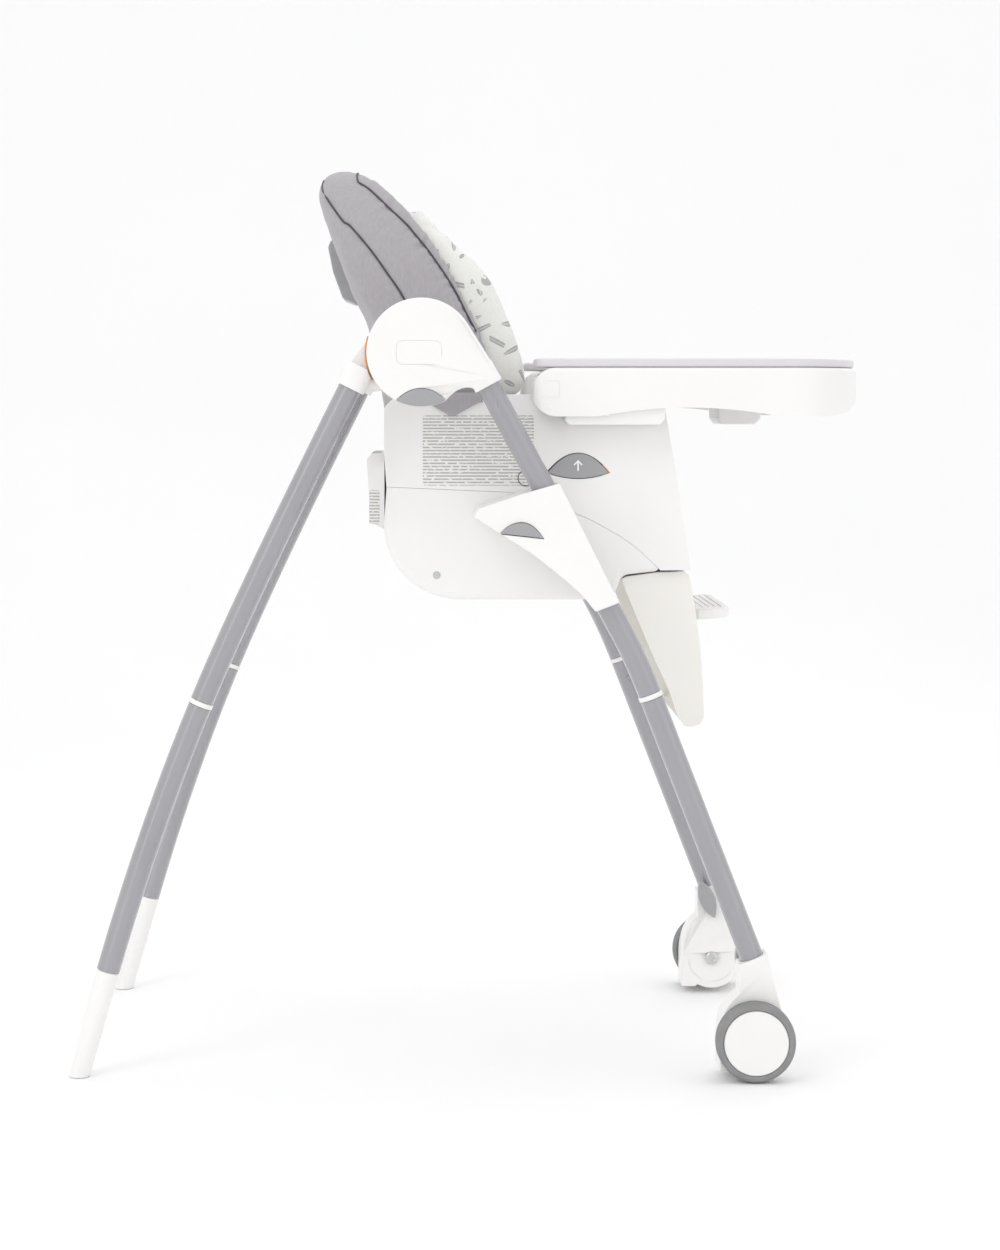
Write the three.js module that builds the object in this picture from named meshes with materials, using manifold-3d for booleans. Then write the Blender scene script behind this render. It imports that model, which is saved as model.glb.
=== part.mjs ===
// Baby high chair on a folding A-frame. Millimetres, +Z up, +X is the way the chair faces,
// +Y is the sitter's left. Pieces are laid out from the fold axis (x = 0) and the floor (z = 0);
// the last lines move the origin to the middle of the footprint.
import * as THREE from 'three';
import { mergeVertices } from 'three/addons/utils/BufferGeometryUtils.js';
import Module from 'manifold-3d';

const wasm = await Module();
wasm.setup();

// ---- driving dimensions ------------------------------------------------------------------
const touchGap = 0.3;            // between pieces that touch
const buttonGap = 0.5;           // round a button in its pocket
const hubHeight = 802;           // fold axis above the floor
const seatDatum = 802;           // the seat, back and tray are drawn for a fold axis this high
const seatHalf = 176;            // half width of the seat and its base
const hubRadius = 60;
const legPlane = seatHalf + 72;  // |y| of the leg tubes
const hubInner = legPlane - 22;  // |y| of the inner face of the rear leg's knuckle
const hubMiddle = legPlane + 2;  // |y| where the front leg's knuckle starts
const hubOuter = legPlane + 35;
const tubeAcross = 30;           // leg tube, side to side
const tubeFore = 26;             // leg tube, front to back
const socketWall = 3.5;
const socketDepth = 22;
const ringThick = 6;
const ringStand = 1.6;
const frontLean = THREE.MathUtils.degToRad(28.4);
const frontLowerLean = THREE.MathUtils.degToRad(21.2);
const wheelRadius = 44;
const frontArmEnd = [75, hubHeight - 37];
const frontBendTop = hubHeight - 302;
const frontBendCorner = hubHeight - 340;
const frontRingHeight = hubHeight - 381;
const frontTubeEnd = 2 * wheelRadius + 44;
const rearArmEnd = [-79, hubHeight - 39.5];
const rearUpperCorner = [-199, hubHeight - 280];
const rearRing = [-244, hubHeight - 389];
const rearLowerShare = 0.48;     // where the lower tube bends, as a share of its length
const rearKneeRise = 16;         // the tube runs straight for this far above the foot
const rearTubeEnd = [-347, 117];
const rearFootEnd = [-379, 0];
const wheelWidth = 24;
const wheelOuter = legPlane + 42;
const capRadius = wheelRadius - 8.5;
const axleRadius = 5;
const housingInner = legPlane - 34;
const seatWall = 8;
const baseWall = 6;
const armrestHeight = 756;
const panHeight = 640;
const panThick = 8;
const seatBack = -42;
const baseFloor = 523;
const pocketDepth = 21;
const pocketHalf = 105;
const padGap = 2;
const seatPadThick = 26;
const backHalf = seatHalf - 18;
const backWing = 12;
const backTop = 1024;
const backBase = 770;            // above this the back is stretched to reach its top
const bolsterThick = 26;
const trayHalf = seatHalf + 46;
const trayWall = 7;
const trayRear = 124.6;
const trayFront = 513;
const trayLow = 731;
const trayHigh = 786;
const trayBellyHalf = seatHalf - 24;
const trayBellyFront = 236;
const insertThick = 10;
const calfHalf = seatHalf - 11;
const calfWall = 6;
const footplateHalf = 122;
const footplateThick = 11;
const strapWide = 25;
const strapThick = 2;
const buttonTravel = 5;

// ---- finishes ----------------------------------------------------------------------------
const finish = (color, roughness, metalness = 0) =>
  new THREE.MeshStandardMaterial({ color, roughness, metalness });
const whitePlastic = () => finish(0xf4f3f2, 0.42);
const greyTube = () => finish(0xa5a5ac, 0.38, 0.35);
const greyPlastic = () => finish(0xaeb0b5, 0.5);
const tyreRubber = () => finish(0xa4a4a5, 0.75);
const greyFabric = () => finish(0xa8a5aa, 0.9);
const padFabric = () => finish(0xe2e4de, 0.92);
const insertPlastic = () => finish(0xcdcbd2, 0.4);
const steel = () => finish(0xb9bcc0, 0.3, 0.9);
const webbing = () => finish(0x7d7d82, 0.9);

// ---- shape helpers -----------------------------------------------------------------------
function closed(geometry) {
  const bare = geometry.clone();
  bare.deleteAttribute('normal');
  bare.deleteAttribute('uv');
  return mergeVertices(bare, 1e-4);
}

function toSolid(geometry) {
  const bare = closed(geometry);
  const vertProperties = new Float32Array(bare.attributes.position.array);
  const triVerts = new Uint32Array(bare.index.array);
  return new wasm.Manifold(new wasm.Mesh({ numProp: 3, vertProperties, triVerts }));
}

function toGeometry(solid) {
  const { vertProperties, triVerts } = solid.getMesh();
  const geometry = new THREE.BufferGeometry();
  geometry.setAttribute('position', new THREE.BufferAttribute(vertProperties, 3));
  geometry.setIndex(new THREE.BufferAttribute(triVerts, 1));
  geometry.computeVertexNormals();
  return geometry;
}

const cut = (body, ...tools) =>
  toGeometry(tools.reduce((solid, tool) => solid.subtract(toSolid(tool)), toSolid(body)));
const join = (...pieces) =>
  toGeometry(pieces.slice(1).reduce((solid, piece) => solid.add(toSolid(piece)), toSolid(pieces[0])));
const overlap = (first, second) => toGeometry(toSolid(first).intersect(toSolid(second)));

const polygon = (points) => new THREE.Shape(points.map(([a, b]) => new THREE.Vector2(a, b)));

// A side outline in x and z, pulled from y0 to y1.
function sideways(shape, y0, y1, curveSegments = 8) {
  const settings = { depth: y1 - y0, bevelEnabled: false, curveSegments };
  const geometry = new THREE.ExtrudeGeometry(shape, settings);
  geometry.rotateX(Math.PI / 2);
  geometry.translate(0, y1, 0);
  return geometry;
}

// A plan outline in x and y, pulled from z0 to z1.
function upward(shape, z0, z1, curveSegments = 8) {
  const settings = { depth: z1 - z0, bevelEnabled: false, curveSegments };
  return new THREE.ExtrudeGeometry(shape, settings).translate(0, 0, z0);
}

// A front outline in y and z, pulled from x0 to x1.
function forward(shape, x0, x1, curveSegments = 8) {
  const settings = { depth: x1 - x0, bevelEnabled: false, curveSegments };
  const geometry = new THREE.ExtrudeGeometry(shape, settings);
  const turn = new THREE.Matrix4().set(0, 0, 1, 0, 1, 0, 0, 0, 0, 1, 0, 0, 0, 0, 0, 1);
  return geometry.applyMatrix4(turn).translate(x0, 0, 0);
}

function block(x0, x1, y0, y1, z0, z1) {
  const box = new THREE.BoxGeometry(x1 - x0, y1 - y0, z1 - z0);
  return box.translate((x0 + x1) / 2, (y0 + y1) / 2, (z0 + z1) / 2);
}

// A turned piece about a sideways axis through (x, z); the profile lists radius and y.
function turned(profile, x, z, segments = 36) {
  const points = profile.map(([radius, y]) => new THREE.Vector2(radius, y));
  return new THREE.LatheGeometry(points, segments).translate(x, 0, z);
}

// An oval bar along a path in the plane of one leg.
function ovalBar(path, across, fore, steps, halfTurnSides = 7) {
  const section = new THREE.Shape();
  section.absellipse(0, 0, across / 2, fore / 2, 0, Math.PI * 2, false);
  const settings = { extrudePath: path, steps, curveSegments: halfTurnSides, bevelEnabled: false };
  return new THREE.ExtrudeGeometry(section, settings);
}

const legPoint = ([x, z], y = legPlane) => new THREE.Vector3(x, y, z);
const straight = (a, b) => new THREE.LineCurve3(legPoint(a), legPoint(b));
const bent = (a, corner, b) => new THREE.QuadraticBezierCurve3(legPoint(a), legPoint(corner), legPoint(b));

function pathOf(...curves) {
  const path = new THREE.CurvePath();
  curves.forEach((curve) => path.add(curve));
  return path;
}

// A point a distance along a lean (forward positive) below a start point.
const below = ([x, z], lean, distance) => [x + Math.sin(lean) * distance, z - Math.cos(lean) * distance];
const across = ([x, z], lean, distance) => [x + Math.cos(lean) * distance, z + Math.sin(lean) * distance];

function mirrored(geometry) {
  const copy = closed(geometry);
  copy.applyMatrix4(new THREE.Matrix4().makeScale(1, -1, 1));
  const index = copy.index.array;
  for (let i = 0; i < index.length; i += 3) {
    [index[i + 1], index[i + 2]] = [index[i + 2], index[i + 1]];
  }
  copy.computeVertexNormals();
  return copy;
}

// ---- scene graph -------------------------------------------------------------------------
const chair = new THREE.Group();

function addTo(parent, name, geometry, material) {
  const mesh = new THREE.Mesh(geometry, material);
  mesh.name = name;
  parent.add(mesh);
}

// The piece as drawn is the left one; its mirror image is the right one.
function addPair(parent, name, geometry, material) {
  addTo(parent, `${name}_L`, geometry, material());
  addTo(parent, `${name}_R`, mirrored(geometry), material());
}

function subgroup(rise = 0) {
  const group = new THREE.Group();
  group.position.z = rise;
  chair.add(group);
  return group;
}

// ---- legs --------------------------------------------------------------------------------
const hub = [0, hubHeight];

// Angle on a circle about the hub at which a line from a point touches it.
function touchAngle([x, z], radius, side) {
  const distance = Math.hypot(x, z - hubHeight);
  return Math.atan2(z - hubHeight, x) + side * Math.acos(radius / distance);
}

function knuckleShape(radius, outerCorner, innerCorner, side, notch) {
  const shape = new THREE.Shape();
  const start = touchAngle(outerCorner, radius, side);
  const end = side > 0 ? -notch : Math.PI + notch;
  shape.absarc(0, hubHeight, radius, start, end, side < 0);
  const edge = [radius * Math.cos(end), hubHeight + radius * Math.sin(end)];
  const rise = (innerCorner[0] - edge[0]) * 0.45;
  shape.quadraticCurveTo(edge[0] + rise, innerCorner[1] + 10, innerCorner[0] - side * 2, innerCorner[1] + 5);
  shape.lineTo(...innerCorner);
  shape.lineTo(...outerCorner);
  return shape;
}

const socketHalf = tubeFore / 2 + socketWall;
const socketIn = legPlane - tubeAcross / 2 - socketWall;
const socketOut = legPlane + tubeAcross / 2 + socketWall;
const rearLean = Math.atan2(rearUpperCorner[0] - rearArmEnd[0], rearArmEnd[1] - rearUpperCorner[1]);

const frontBend = below(frontArmEnd, frontLean, (frontArmEnd[1] - frontBendTop) / Math.cos(frontLean));
const frontCorner = below(frontArmEnd, frontLean, (frontArmEnd[1] - frontBendCorner) / Math.cos(frontLean));
const lowerLength = (fall) => fall / Math.cos(frontLowerLean);
const frontRing = below(frontCorner, frontLowerLean, lowerLength(frontBendCorner - frontRingHeight));
const frontEnd = below(frontRing, frontLowerLean, lowerLength(frontRingHeight - frontTubeEnd));
const frontTubeTop = below(frontArmEnd, frontLean, -socketDepth);
const rearTubeTop = below(rearArmEnd, rearLean, -socketDepth);
const axle = [frontEnd[0] + 1, wheelRadius];

const ringHalf = ringThick / 2 + touchGap;
const rearRingLean = Math.atan2(rearRing[0] - rearUpperCorner[0], rearUpperCorner[1] - rearRing[1]);
const rearLowerLength = Math.hypot(rearRing[0] - rearTubeEnd[0], rearRing[1] - rearTubeEnd[1]);
const rearLowerCorner = below(rearRing, rearRingLean, rearLowerShare * rearLowerLength);
const footLean = Math.atan2(rearFootEnd[0] - rearTubeEnd[0], rearTubeEnd[1] - rearFootEnd[1]);

const frontUpperPath = pathOf(
  straight(frontTubeTop, frontBend),
  bent(frontBend, frontCorner, below(frontRing, frontLowerLean, -ringHalf)),
);
const frontLowerPath = straight(
  below(frontRing, frontLowerLean, ringHalf),
  below(frontEnd, frontLowerLean, socketDepth),
);
const rearUpperPath = pathOf(
  straight(rearTubeTop, rearArmEnd),
  bent(rearArmEnd, rearUpperCorner, below(rearRing, rearRingLean, -ringHalf)),
);
const rearKnee = below(rearTubeEnd, footLean, -rearKneeRise);
const rearLowerPath = pathOf(
  bent(below(rearRing, rearRingLean, ringHalf), rearLowerCorner, rearKnee),
  straight(rearKnee, rearTubeEnd),
);

const tube = (path, steps) => ovalBar(path, tubeAcross, tubeFore, steps);
const socketCore = (path, steps) =>
  ovalBar(path, tubeAcross + 2 * touchGap, tubeFore + 2 * touchGap, steps);

// The front leg's knuckle is the outer disc with its arm; a socket below takes the tube.
function frontKnuckle() {
  const outer = across(frontArmEnd, frontLean, socketHalf);
  const inner = across(frontArmEnd, frontLean, -socketHalf);
  const shape = knuckleShape(hubRadius, outer, inner, 1, THREE.MathUtils.degToRad(63));
  const socketTop = -socketDepth - 6;
  const socket = polygon([
    across(below(frontArmEnd, frontLean, socketTop), frontLean, -socketHalf),
    inner,
    outer,
    across(below(frontArmEnd, frontLean, socketTop), frontLean, socketHalf),
  ]);
  const rearClear = turned([[0, hubInner - 1], [hubRadius + 2, hubInner - 1],
    [hubRadius + 2, hubMiddle], [0, hubMiddle]], ...hub, 40);
  const dome = turned([[0, hubMiddle], [hubRadius + 40, hubMiddle], [hubRadius + 40, hubOuter - 9],
    [hubRadius, hubOuter - 6], [hubRadius - 3, hubOuter - 1.5], [hubRadius - 9, hubOuter], [0, hubOuter]],
  ...hub, 36);
  const plate = overlap(sideways(shape, hubMiddle, hubOuter, 12), dome);
  const sleeve = cut(sideways(socket, socketIn, hubMiddle + 6), rearClear);
  const bore = socketCore(straight(below(frontArmEnd, frontLean, -socketDepth - touchGap),
    below(frontArmEnd, frontLean, 20)), 1);
  const pinHole = turned([[0, hubMiddle - 1], [13 + touchGap, hubMiddle - 1],
    [13 + touchGap, hubOuter - 12], [0, hubOuter - 12]], ...hub, 24);
  const buttonPocket = sideways(foldButtonShape(buttonGap), hubOuter - 2 * 11, hubOuter + 5);
  return cut(join(plate, sleeve), bore, pinHole, buttonPocket);
}

// A lens whose lower edge follows the rim of the disc; grown, it is the pocket, open at the rim.
const foldButtonHalf = 27;
const foldButtonTop = hubHeight - 40;
function foldButtonShape(grow = 0) {
  const rim = hubRadius - 0.6;
  const half = foldButtonHalf + grow;
  const corner = hubHeight - Math.sqrt(rim ** 2 - foldButtonHalf ** 2) + grow;
  const crown = 2 * (foldButtonTop + grow) - corner;
  const shape = new THREE.Shape();
  shape.moveTo(half, corner);
  shape.quadraticCurveTo(0, crown, -half, corner);
  if (grow > 0) {
    shape.lineTo(-half, hubHeight - hubRadius - 5);
    shape.lineTo(half, hubHeight - hubRadius - 5);
  } else {
    const angle = Math.acos(foldButtonHalf / rim);
    shape.absarc(0, hubHeight, rim, Math.PI + angle, 2 * Math.PI - angle, false);
  }
  return shape;
}

function rearKnuckle() {
  const outer = across(rearArmEnd, rearLean, -socketHalf);
  const inner = across(rearArmEnd, rearLean, socketHalf);
  const shape = knuckleShape(hubRadius - 4, outer, inner, -1, THREE.MathUtils.degToRad(60));
  const socket = polygon([
    across(below(rearArmEnd, rearLean, -socketDepth - 6), rearLean, -socketHalf),
    outer,
    inner,
    across(below(rearArmEnd, rearLean, -socketDepth - 6), rearLean, socketHalf),
  ]);
  const frontClear = turned([[0, hubMiddle - touchGap], [hubRadius + 2, hubMiddle - touchGap],
    [hubRadius + 2, hubOuter + 1], [0, hubOuter + 1]], ...hub, 48);
  const plate = sideways(shape, hubInner, hubMiddle - touchGap, 12);
  const sleeve = cut(sideways(socket, hubInner, socketOut), frontClear);
  const bore = socketCore(straight(below(rearArmEnd, rearLean, -socketDepth - touchGap),
    below(rearArmEnd, rearLean, 20)), 1);
  const pin = turned([[0, hubMiddle - 8], [13, hubMiddle - 8],
    [13, hubOuter - 12.5], [0, hubOuter - 12.5]], ...hub, 24);
  return cut(join(cut(plate, bore), sleeve, pin), bore);
}

function ring(centre, lean) {
  const path = straight(below(centre, lean, -ringThick / 2), below(centre, lean, ringThick / 2));
  return ovalBar(path, tubeAcross + ringStand, tubeFore + ringStand, 1);
}

// White end of the rear leg: a sleeve over the tube, cut level where it meets the floor.
function rearFoot() {
  const start = below(rearTubeEnd, footLean, touchGap);
  const path = straight(start, below(rearFootEnd, footLean, 12));
  const body = ovalBar(path, tubeAcross + 2, tubeFore - 0.5, 1, 10);
  const thinner = overlap(body, block(-1000, 0, 0, 400, 0, 400));
  const inside = ovalBar(straight(rearTubeEnd, below(rearTubeEnd, footLean, socketDepth + touchGap)),
    tubeAcross - 5 + 2 * touchGap, tubeFore - 5 + 2 * touchGap, 1);
  return cut(thinner, inside);
}

// The lower rear tube necks down where the foot sleeves over it.
function rearLowerTube() {
  const body = ovalBar(rearLowerPath, tubeAcross, tubeFore, 10);
  const neck = ovalBar(straight(below(rearTubeEnd, footLean, -6), below(rearTubeEnd, footLean, socketDepth)),
    tubeAcross - 5, tubeFore - 5, 1);
  return join(body, neck);
}

// ---- wheel end of the front leg -------------------------------------------------------------
const wheelInner = wheelOuter - wheelWidth;
const housingOuter = wheelInner - 3;
const housingRadius = wheelRadius - 6;
const tyreTop = 2 * wheelRadius;
const neckIn = socketIn - 1;
const neckOut = socketOut + 1;

function wheelHousing() {
  const top = frontEnd;
  const neckHalf = socketHalf + 1;
  const shape = new THREE.Shape();
  const a = across(top, frontLowerLean, -neckHalf);
  const b = across(top, frontLowerLean, neckHalf);
  shape.moveTo(...a);
  shape.lineTo(axle[0] - 17, axle[1] + 50);
  shape.quadraticCurveTo(axle[0] - housingRadius, axle[1] + 34, axle[0] - housingRadius, axle[1]);
  shape.lineTo(axle[0] - housingRadius, 8);
  shape.lineTo(axle[0] - housingRadius + 18, 8);
  shape.absarc(axle[0], axle[1], housingRadius, -Math.PI * 0.66, Math.PI * 0.1, false);
  shape.quadraticCurveTo(axle[0] + 24, axle[1] + 52, ...b);
  shape.lineTo(...a);
  const shell = overlap(
    sideways(shape, housingInner, housingOuter, 12),
    forward(polygon([[housingInner + 14, 6], [housingInner, 24], [housingInner, tyreTop - 28],
      [neckIn, tyreTop - 6],
      [neckIn, 200], [neckOut, 200], [neckOut, tyreTop + 12], [housingOuter, tyreTop], [housingOuter, 6]]),
    200, 900),
  );
  const neck = overlap(sideways(shape, neckIn, neckOut, 12), block(0, 900, 0, 400, tyreTop + 2, 200));
  const bore = socketCore(straight(below(frontEnd, frontLowerLean, -20),
    below(frontEnd, frontLowerLean, socketDepth + touchGap)), 1);
  const axleHole = turned([[0, housingInner - 2], [axleRadius + touchGap, housingInner - 2],
    [axleRadius + touchGap, housingOuter + 2], [0, housingOuter + 2]], ...axle, 20);
  return cut(join(shell, neck), bore, axleHole);
}

const axlePin = () => turned([[0, housingInner - 3], [8, housingInner - 3], [8, housingInner - touchGap],
  [axleRadius, housingInner - touchGap], [axleRadius, wheelOuter - 5], [0, wheelOuter - 5]], ...axle, 20);

function tyre() {
  const bore = axleRadius + touchGap;
  const seat = capRadius + touchGap;
  return turned([[bore, wheelInner], [wheelRadius - 4, wheelInner], [wheelRadius - 1, wheelInner + 2],
    [wheelRadius, wheelInner + 6], [wheelRadius, wheelOuter - 7], [wheelRadius - 1.6, wheelOuter - 2.5],
    [wheelRadius - 5, wheelOuter], [seat, wheelOuter], [seat, wheelOuter - 4], [bore, wheelOuter - 4],
    [bore, wheelInner]], ...axle, 32);
}

const wheelCap = () => turned([[0, wheelOuter - 4 + touchGap], [capRadius, wheelOuter - 4 + touchGap],
  [capRadius, wheelOuter - 1], [capRadius - 1.5, wheelOuter], [0, wheelOuter]], ...axle, 28);

// Foot pedal of the wheel brake, a long lens on the inner side of the housing's neck.
const pedalLength = 52;
const pedalThick = 13;
const pedalTop = across(below(frontEnd, frontLowerLean, -14), frontLowerLean, -9);
const pedalFoot = below(pedalTop, frontLowerLean, pedalLength);
function brakePedal() {
  const middle = below(pedalTop, frontLowerLean, pedalLength / 2);
  const shape = new THREE.Shape();
  shape.moveTo(...pedalTop);
  shape.quadraticCurveTo(...across(middle, frontLowerLean, -20), ...pedalFoot);
  shape.quadraticCurveTo(...across(middle, frontLowerLean, 20), ...pedalTop);
  return sideways(shape, neckIn - 1 - pedalThick, neckIn - 1, 8);
}

const frontFrame = subgroup();
addPair(frontFrame, 'front_knuckle', frontKnuckle(), whitePlastic);
addPair(frontFrame, 'front_upper_tube', tube(frontUpperPath, 12), greyTube);
addPair(frontFrame, 'front_ring', ring(frontRing, frontLowerLean), whitePlastic);
addPair(frontFrame, 'front_lower_tube', tube(frontLowerPath, 1), greyTube);
addPair(frontFrame, 'wheel_housing', wheelHousing(), whitePlastic);
addPair(frontFrame, 'axle_pin', axlePin(), steel);
addPair(frontFrame, 'tyre', tyre(), tyreRubber);
addPair(frontFrame, 'wheel_cap', wheelCap(), whitePlastic);
addPair(frontFrame, 'brake_pedal', brakePedal(), greyPlastic);

const foldButton = () => sideways(foldButtonShape(), hubOuter - 14, hubOuter + 1, 12);
addPair(frontFrame, 'fold_button', foldButton(), greyPlastic);

const rearFrame = subgroup();
addPair(rearFrame, 'rear_knuckle', rearKnuckle(), whitePlastic);
addPair(rearFrame, 'rear_upper_tube', tube(rearUpperPath, 10), greyTube);
addPair(rearFrame, 'rear_ring', ring(rearRing, rearRingLean), whitePlastic);
addPair(rearFrame, 'rear_lower_tube', rearLowerTube(), greyTube);
addPair(rearFrame, 'rear_foot', rearFoot(), whitePlastic);

// ---- seat carriage that slides on the front tubes --------------------------------------------
const seatRise = hubHeight - seatDatum;
// Line where the lift-off seat meets the base, from back to front.
const splitLine = [[-38, 651], [103, 645], [178, 620], [217, 600], [243, 583], [272, 556]];
const baseProfile = [
  ...splitLine.map(([x, z]) => [x, z - touchGap]),
  [228, 550], [222, 534], [202, baseFloor], [35, baseFloor + 1], [9, 533], [-17, 551], [-32, 572],
  [seatBack, 602], [seatBack, 625],
];
const baseHollow = [
  [-32, 700], [104, 700], [160, 700], [214, 594], [238, 579], [258, 560],
  [224, 557], [217, 540], [200, baseFloor + baseWall], [37, baseFloor + baseWall], [13, 539], [-12, 556],
  [-26, 575], [seatBack + baseWall, 603], [seatBack + baseWall, 645],
];

const carriageTubeRadius = 11;
const carriageTubeAt = [150, 590];

function baseShell() {
  const outer = sideways(polygon(baseProfile), -seatHalf, seatHalf);
  const inner = sideways(polygon(baseHollow), -seatHalf + baseWall, seatHalf - baseWall);
  const hole = turned([[0, -400], [carriageTubeRadius + touchGap, -400],
    [carriageTubeRadius + touchGap, 400], [0, 400]], ...carriageTubeAt, 24);
  return cut(outer, inner, hole);
}

const bracketIn = seatHalf + touchGap;
const bracketOut = legPlane + 26;
const bracketProfile = [[59, 619], [64.5, 629.5], [112, 645], [153, 657], [218, 526], [193, 516],
  [178, 534], [147, 561], [122, 580], [94.5, 597.6]];
const channelPlay = 2;

// A D with its flat side down, on the lower edge of the bracket.
function leverShape(grow = 0) {
  const shape = new THREE.Shape();
  const half = 24 + grow;
  shape.moveTo(111 - half, 602 - grow);
  shape.lineTo(111 + half, 597 - grow);
  shape.quadraticCurveTo(111 + half * 0.55, 614 + grow, 111, 614 + grow);
  shape.quadraticCurveTo(111 - half * 0.55, 614 + grow, 111 - half, 602 - grow);
  return shape;
}

function bracket() {
  const outer = sideways(polygon(bracketProfile), bracketIn, bracketOut);
  const trim = upward(polygon([[0, bracketIn - 1], [400, bracketIn - 1], [400, bracketOut - 8],
    [300, bracketOut], [110, bracketOut], [40, bracketOut - 14], [0, bracketOut - 30]]), 400, 800);
  const channel = ovalBar(straight(below(frontArmEnd, frontLean, 40), below(frontArmEnd, frontLean, 400)),
    tubeAcross + 2 * channelPlay, tubeFore + 2 * channelPlay, 1).translate(0, 0, -seatRise);
  const pocket = sideways(leverShape(buttonGap), bracketOut - 20, bracketOut + 5);
  const tubeHole = turned([[0, bracketIn - 2], [carriageTubeRadius + touchGap, bracketIn - 2],
    [carriageTubeRadius + touchGap, bracketIn + 30], [0, bracketIn + 30]], ...carriageTubeAt, 24);
  return cut(overlap(outer, trim), channel, pocket, tubeHole);
}

const carriage = subgroup(seatRise);
addTo(carriage, 'base_shell', baseShell(), whitePlastic());
addPair(carriage, 'height_bracket', bracket(), whitePlastic);
const tubeEnd = bracketIn + 28;
addTo(carriage, 'carriage_tube', turned([[0, -tubeEnd], [carriageTubeRadius, -tubeEnd],
  [carriageTubeRadius, tubeEnd], [0, tubeEnd]], ...carriageTubeAt, 24), steel());
addPair(carriage, 'height_lever', sideways(leverShape(), bracketOut - 12, bracketOut + 1.5, 8), greyPlastic);

// Open-topped holder at the back, where the tray hangs when it is not in use.
function rearPocket() {
  const back = seatBack - pocketDepth;
  const low = 600;
  const high = 688;
  const shape = polygon([[seatBack - touchGap, low], [seatBack - touchGap, high], [back + 6, high],
    [back, high - 6], [back + 4, low + 22], [back + 10, low + 6]]);
  const outer = sideways(shape, -pocketHalf, pocketHalf);
  return cut(outer, block(back + 4, seatBack - 4, -pocketHalf + 4, pocketHalf - 4, low + 24, high + 5));
}
addTo(carriage, 'rear_pocket', rearPocket(), whitePlastic());

// ---- lift-off seat ------------------------------------------------------------------------
const seat = subgroup(seatRise);
const seatProfile = [
  [-38, 651], [seatBack, 690], [seatBack, 724], [-38, 742], [-24, armrestHeight], [252, armrestHeight],
  [270, 750], [277, 731], [289, 668], [306, 556.5], ...splitLine.slice().reverse().slice(0, -1),
];

const seatButtonAt = [178, 667];
const seatButtonHalf = 34.5;
function seatButtonShape(grow = 0) {
  const shape = new THREE.Shape();
  const [x, z] = seatButtonAt;
  const half = seatButtonHalf + grow * 1.6;
  shape.moveTo(x - half, z);
  shape.quadraticCurveTo(x, z - 12.5 - grow * 1.4, x + half, z);
  shape.quadraticCurveTo(x, z + 44 + grow * 1.4, x - half, z);
  return shape;
}

const reclineSill = 676;         // the back wall is low here so that the backrest can lean out
const wellHalf = seatHalf - seatWall;
const tubHalf = seatHalf - baseWall - 2;
function seatShell() {
  const walls = sideways(polygon(seatProfile), -seatHalf, seatHalf);
  const tub = block(seatBack + baseWall + 2, 170, -tubHalf, tubHalf, panHeight - panThick, 670);
  const well = block(seatBack + seatWall, 500, -wellHalf, wellHalf, panHeight + 16, 900);
  const pan = block(seatBack + seatWall + 8, 500, -tubHalf + 8, tubHalf - 8, panHeight, 800);
  const apron = sideways(polygon([[196, panHeight - panThick], [279, panHeight - panThick],
    [293, 548], [262, 548], [196, 598]]), -wellHalf, wellHalf);
  const reclineCut = block(seatBack - 10, seatBack + 40, -backHalf - 4, backHalf + 4, reclineSill, 900);
  const holes = sideways(seatButtonShape(buttonGap), -seatHalf - 5, seatHalf + 5);
  return cut(join(walls, tub), well, pan, apron, reclineCut, holes);
}
addTo(seat, 'seat_shell', seatShell(), whitePlastic());
addPair(seat, 'seat_button', sideways(seatButtonShape(), seatHalf - 11, seatHalf + 1.5, 8), greyPlastic);

const seatPadTop = panHeight + touchGap + seatPadThick;
const seatPadHalf = seatHalf - 26;
addTo(seat, 'seat_pad', block(28, 274, -seatPadHalf, seatPadHalf, panHeight + touchGap, seatPadTop), padFabric());

// Lap belt, crotch strap and buckle, lying on the pad.
const buckleAt = [118, seatPadTop + 6];
const strapLow = seatPadTop + touchGap;
addTo(seat, 'crotch_strap', block(buckleAt[0] + 18, buckleAt[0] + 90, -strapWide / 2, strapWide / 2,
  strapLow, strapLow + strapThick), webbing());
addPair(seat, 'lap_strap', block(buckleAt[0] - strapWide / 2, buckleAt[0] + strapWide / 2, 24, seatPadHalf - 10,
  strapLow, strapLow + strapThick), webbing);
const buckleShape = new THREE.Shape();
buckleShape.absellipse(...[buckleAt[0], 0], 17.5, 23, 0, Math.PI * 2, false);
const buckleHole = new THREE.Shape();
buckleHole.absellipse(...[buckleAt[0], 0], 9.5, 9.5, 0, Math.PI * 2, false);
const buckleTop = strapLow + 13;
addTo(seat, 'buckle', cut(upward(buckleShape, strapLow, buckleTop, 12),
  upward(buckleHole, strapLow + 4, buckleTop + 3, 12)), greyPlastic());
const buckleButtonShape = new THREE.Shape();
buckleButtonShape.absellipse(...[buckleAt[0], 0], 9, 9, 0, Math.PI * 2, false);
addTo(seat, 'buckle_button', upward(buckleButtonShape, strapLow + 8, buckleTop + 0.6, 12), greyPlastic());

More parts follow.
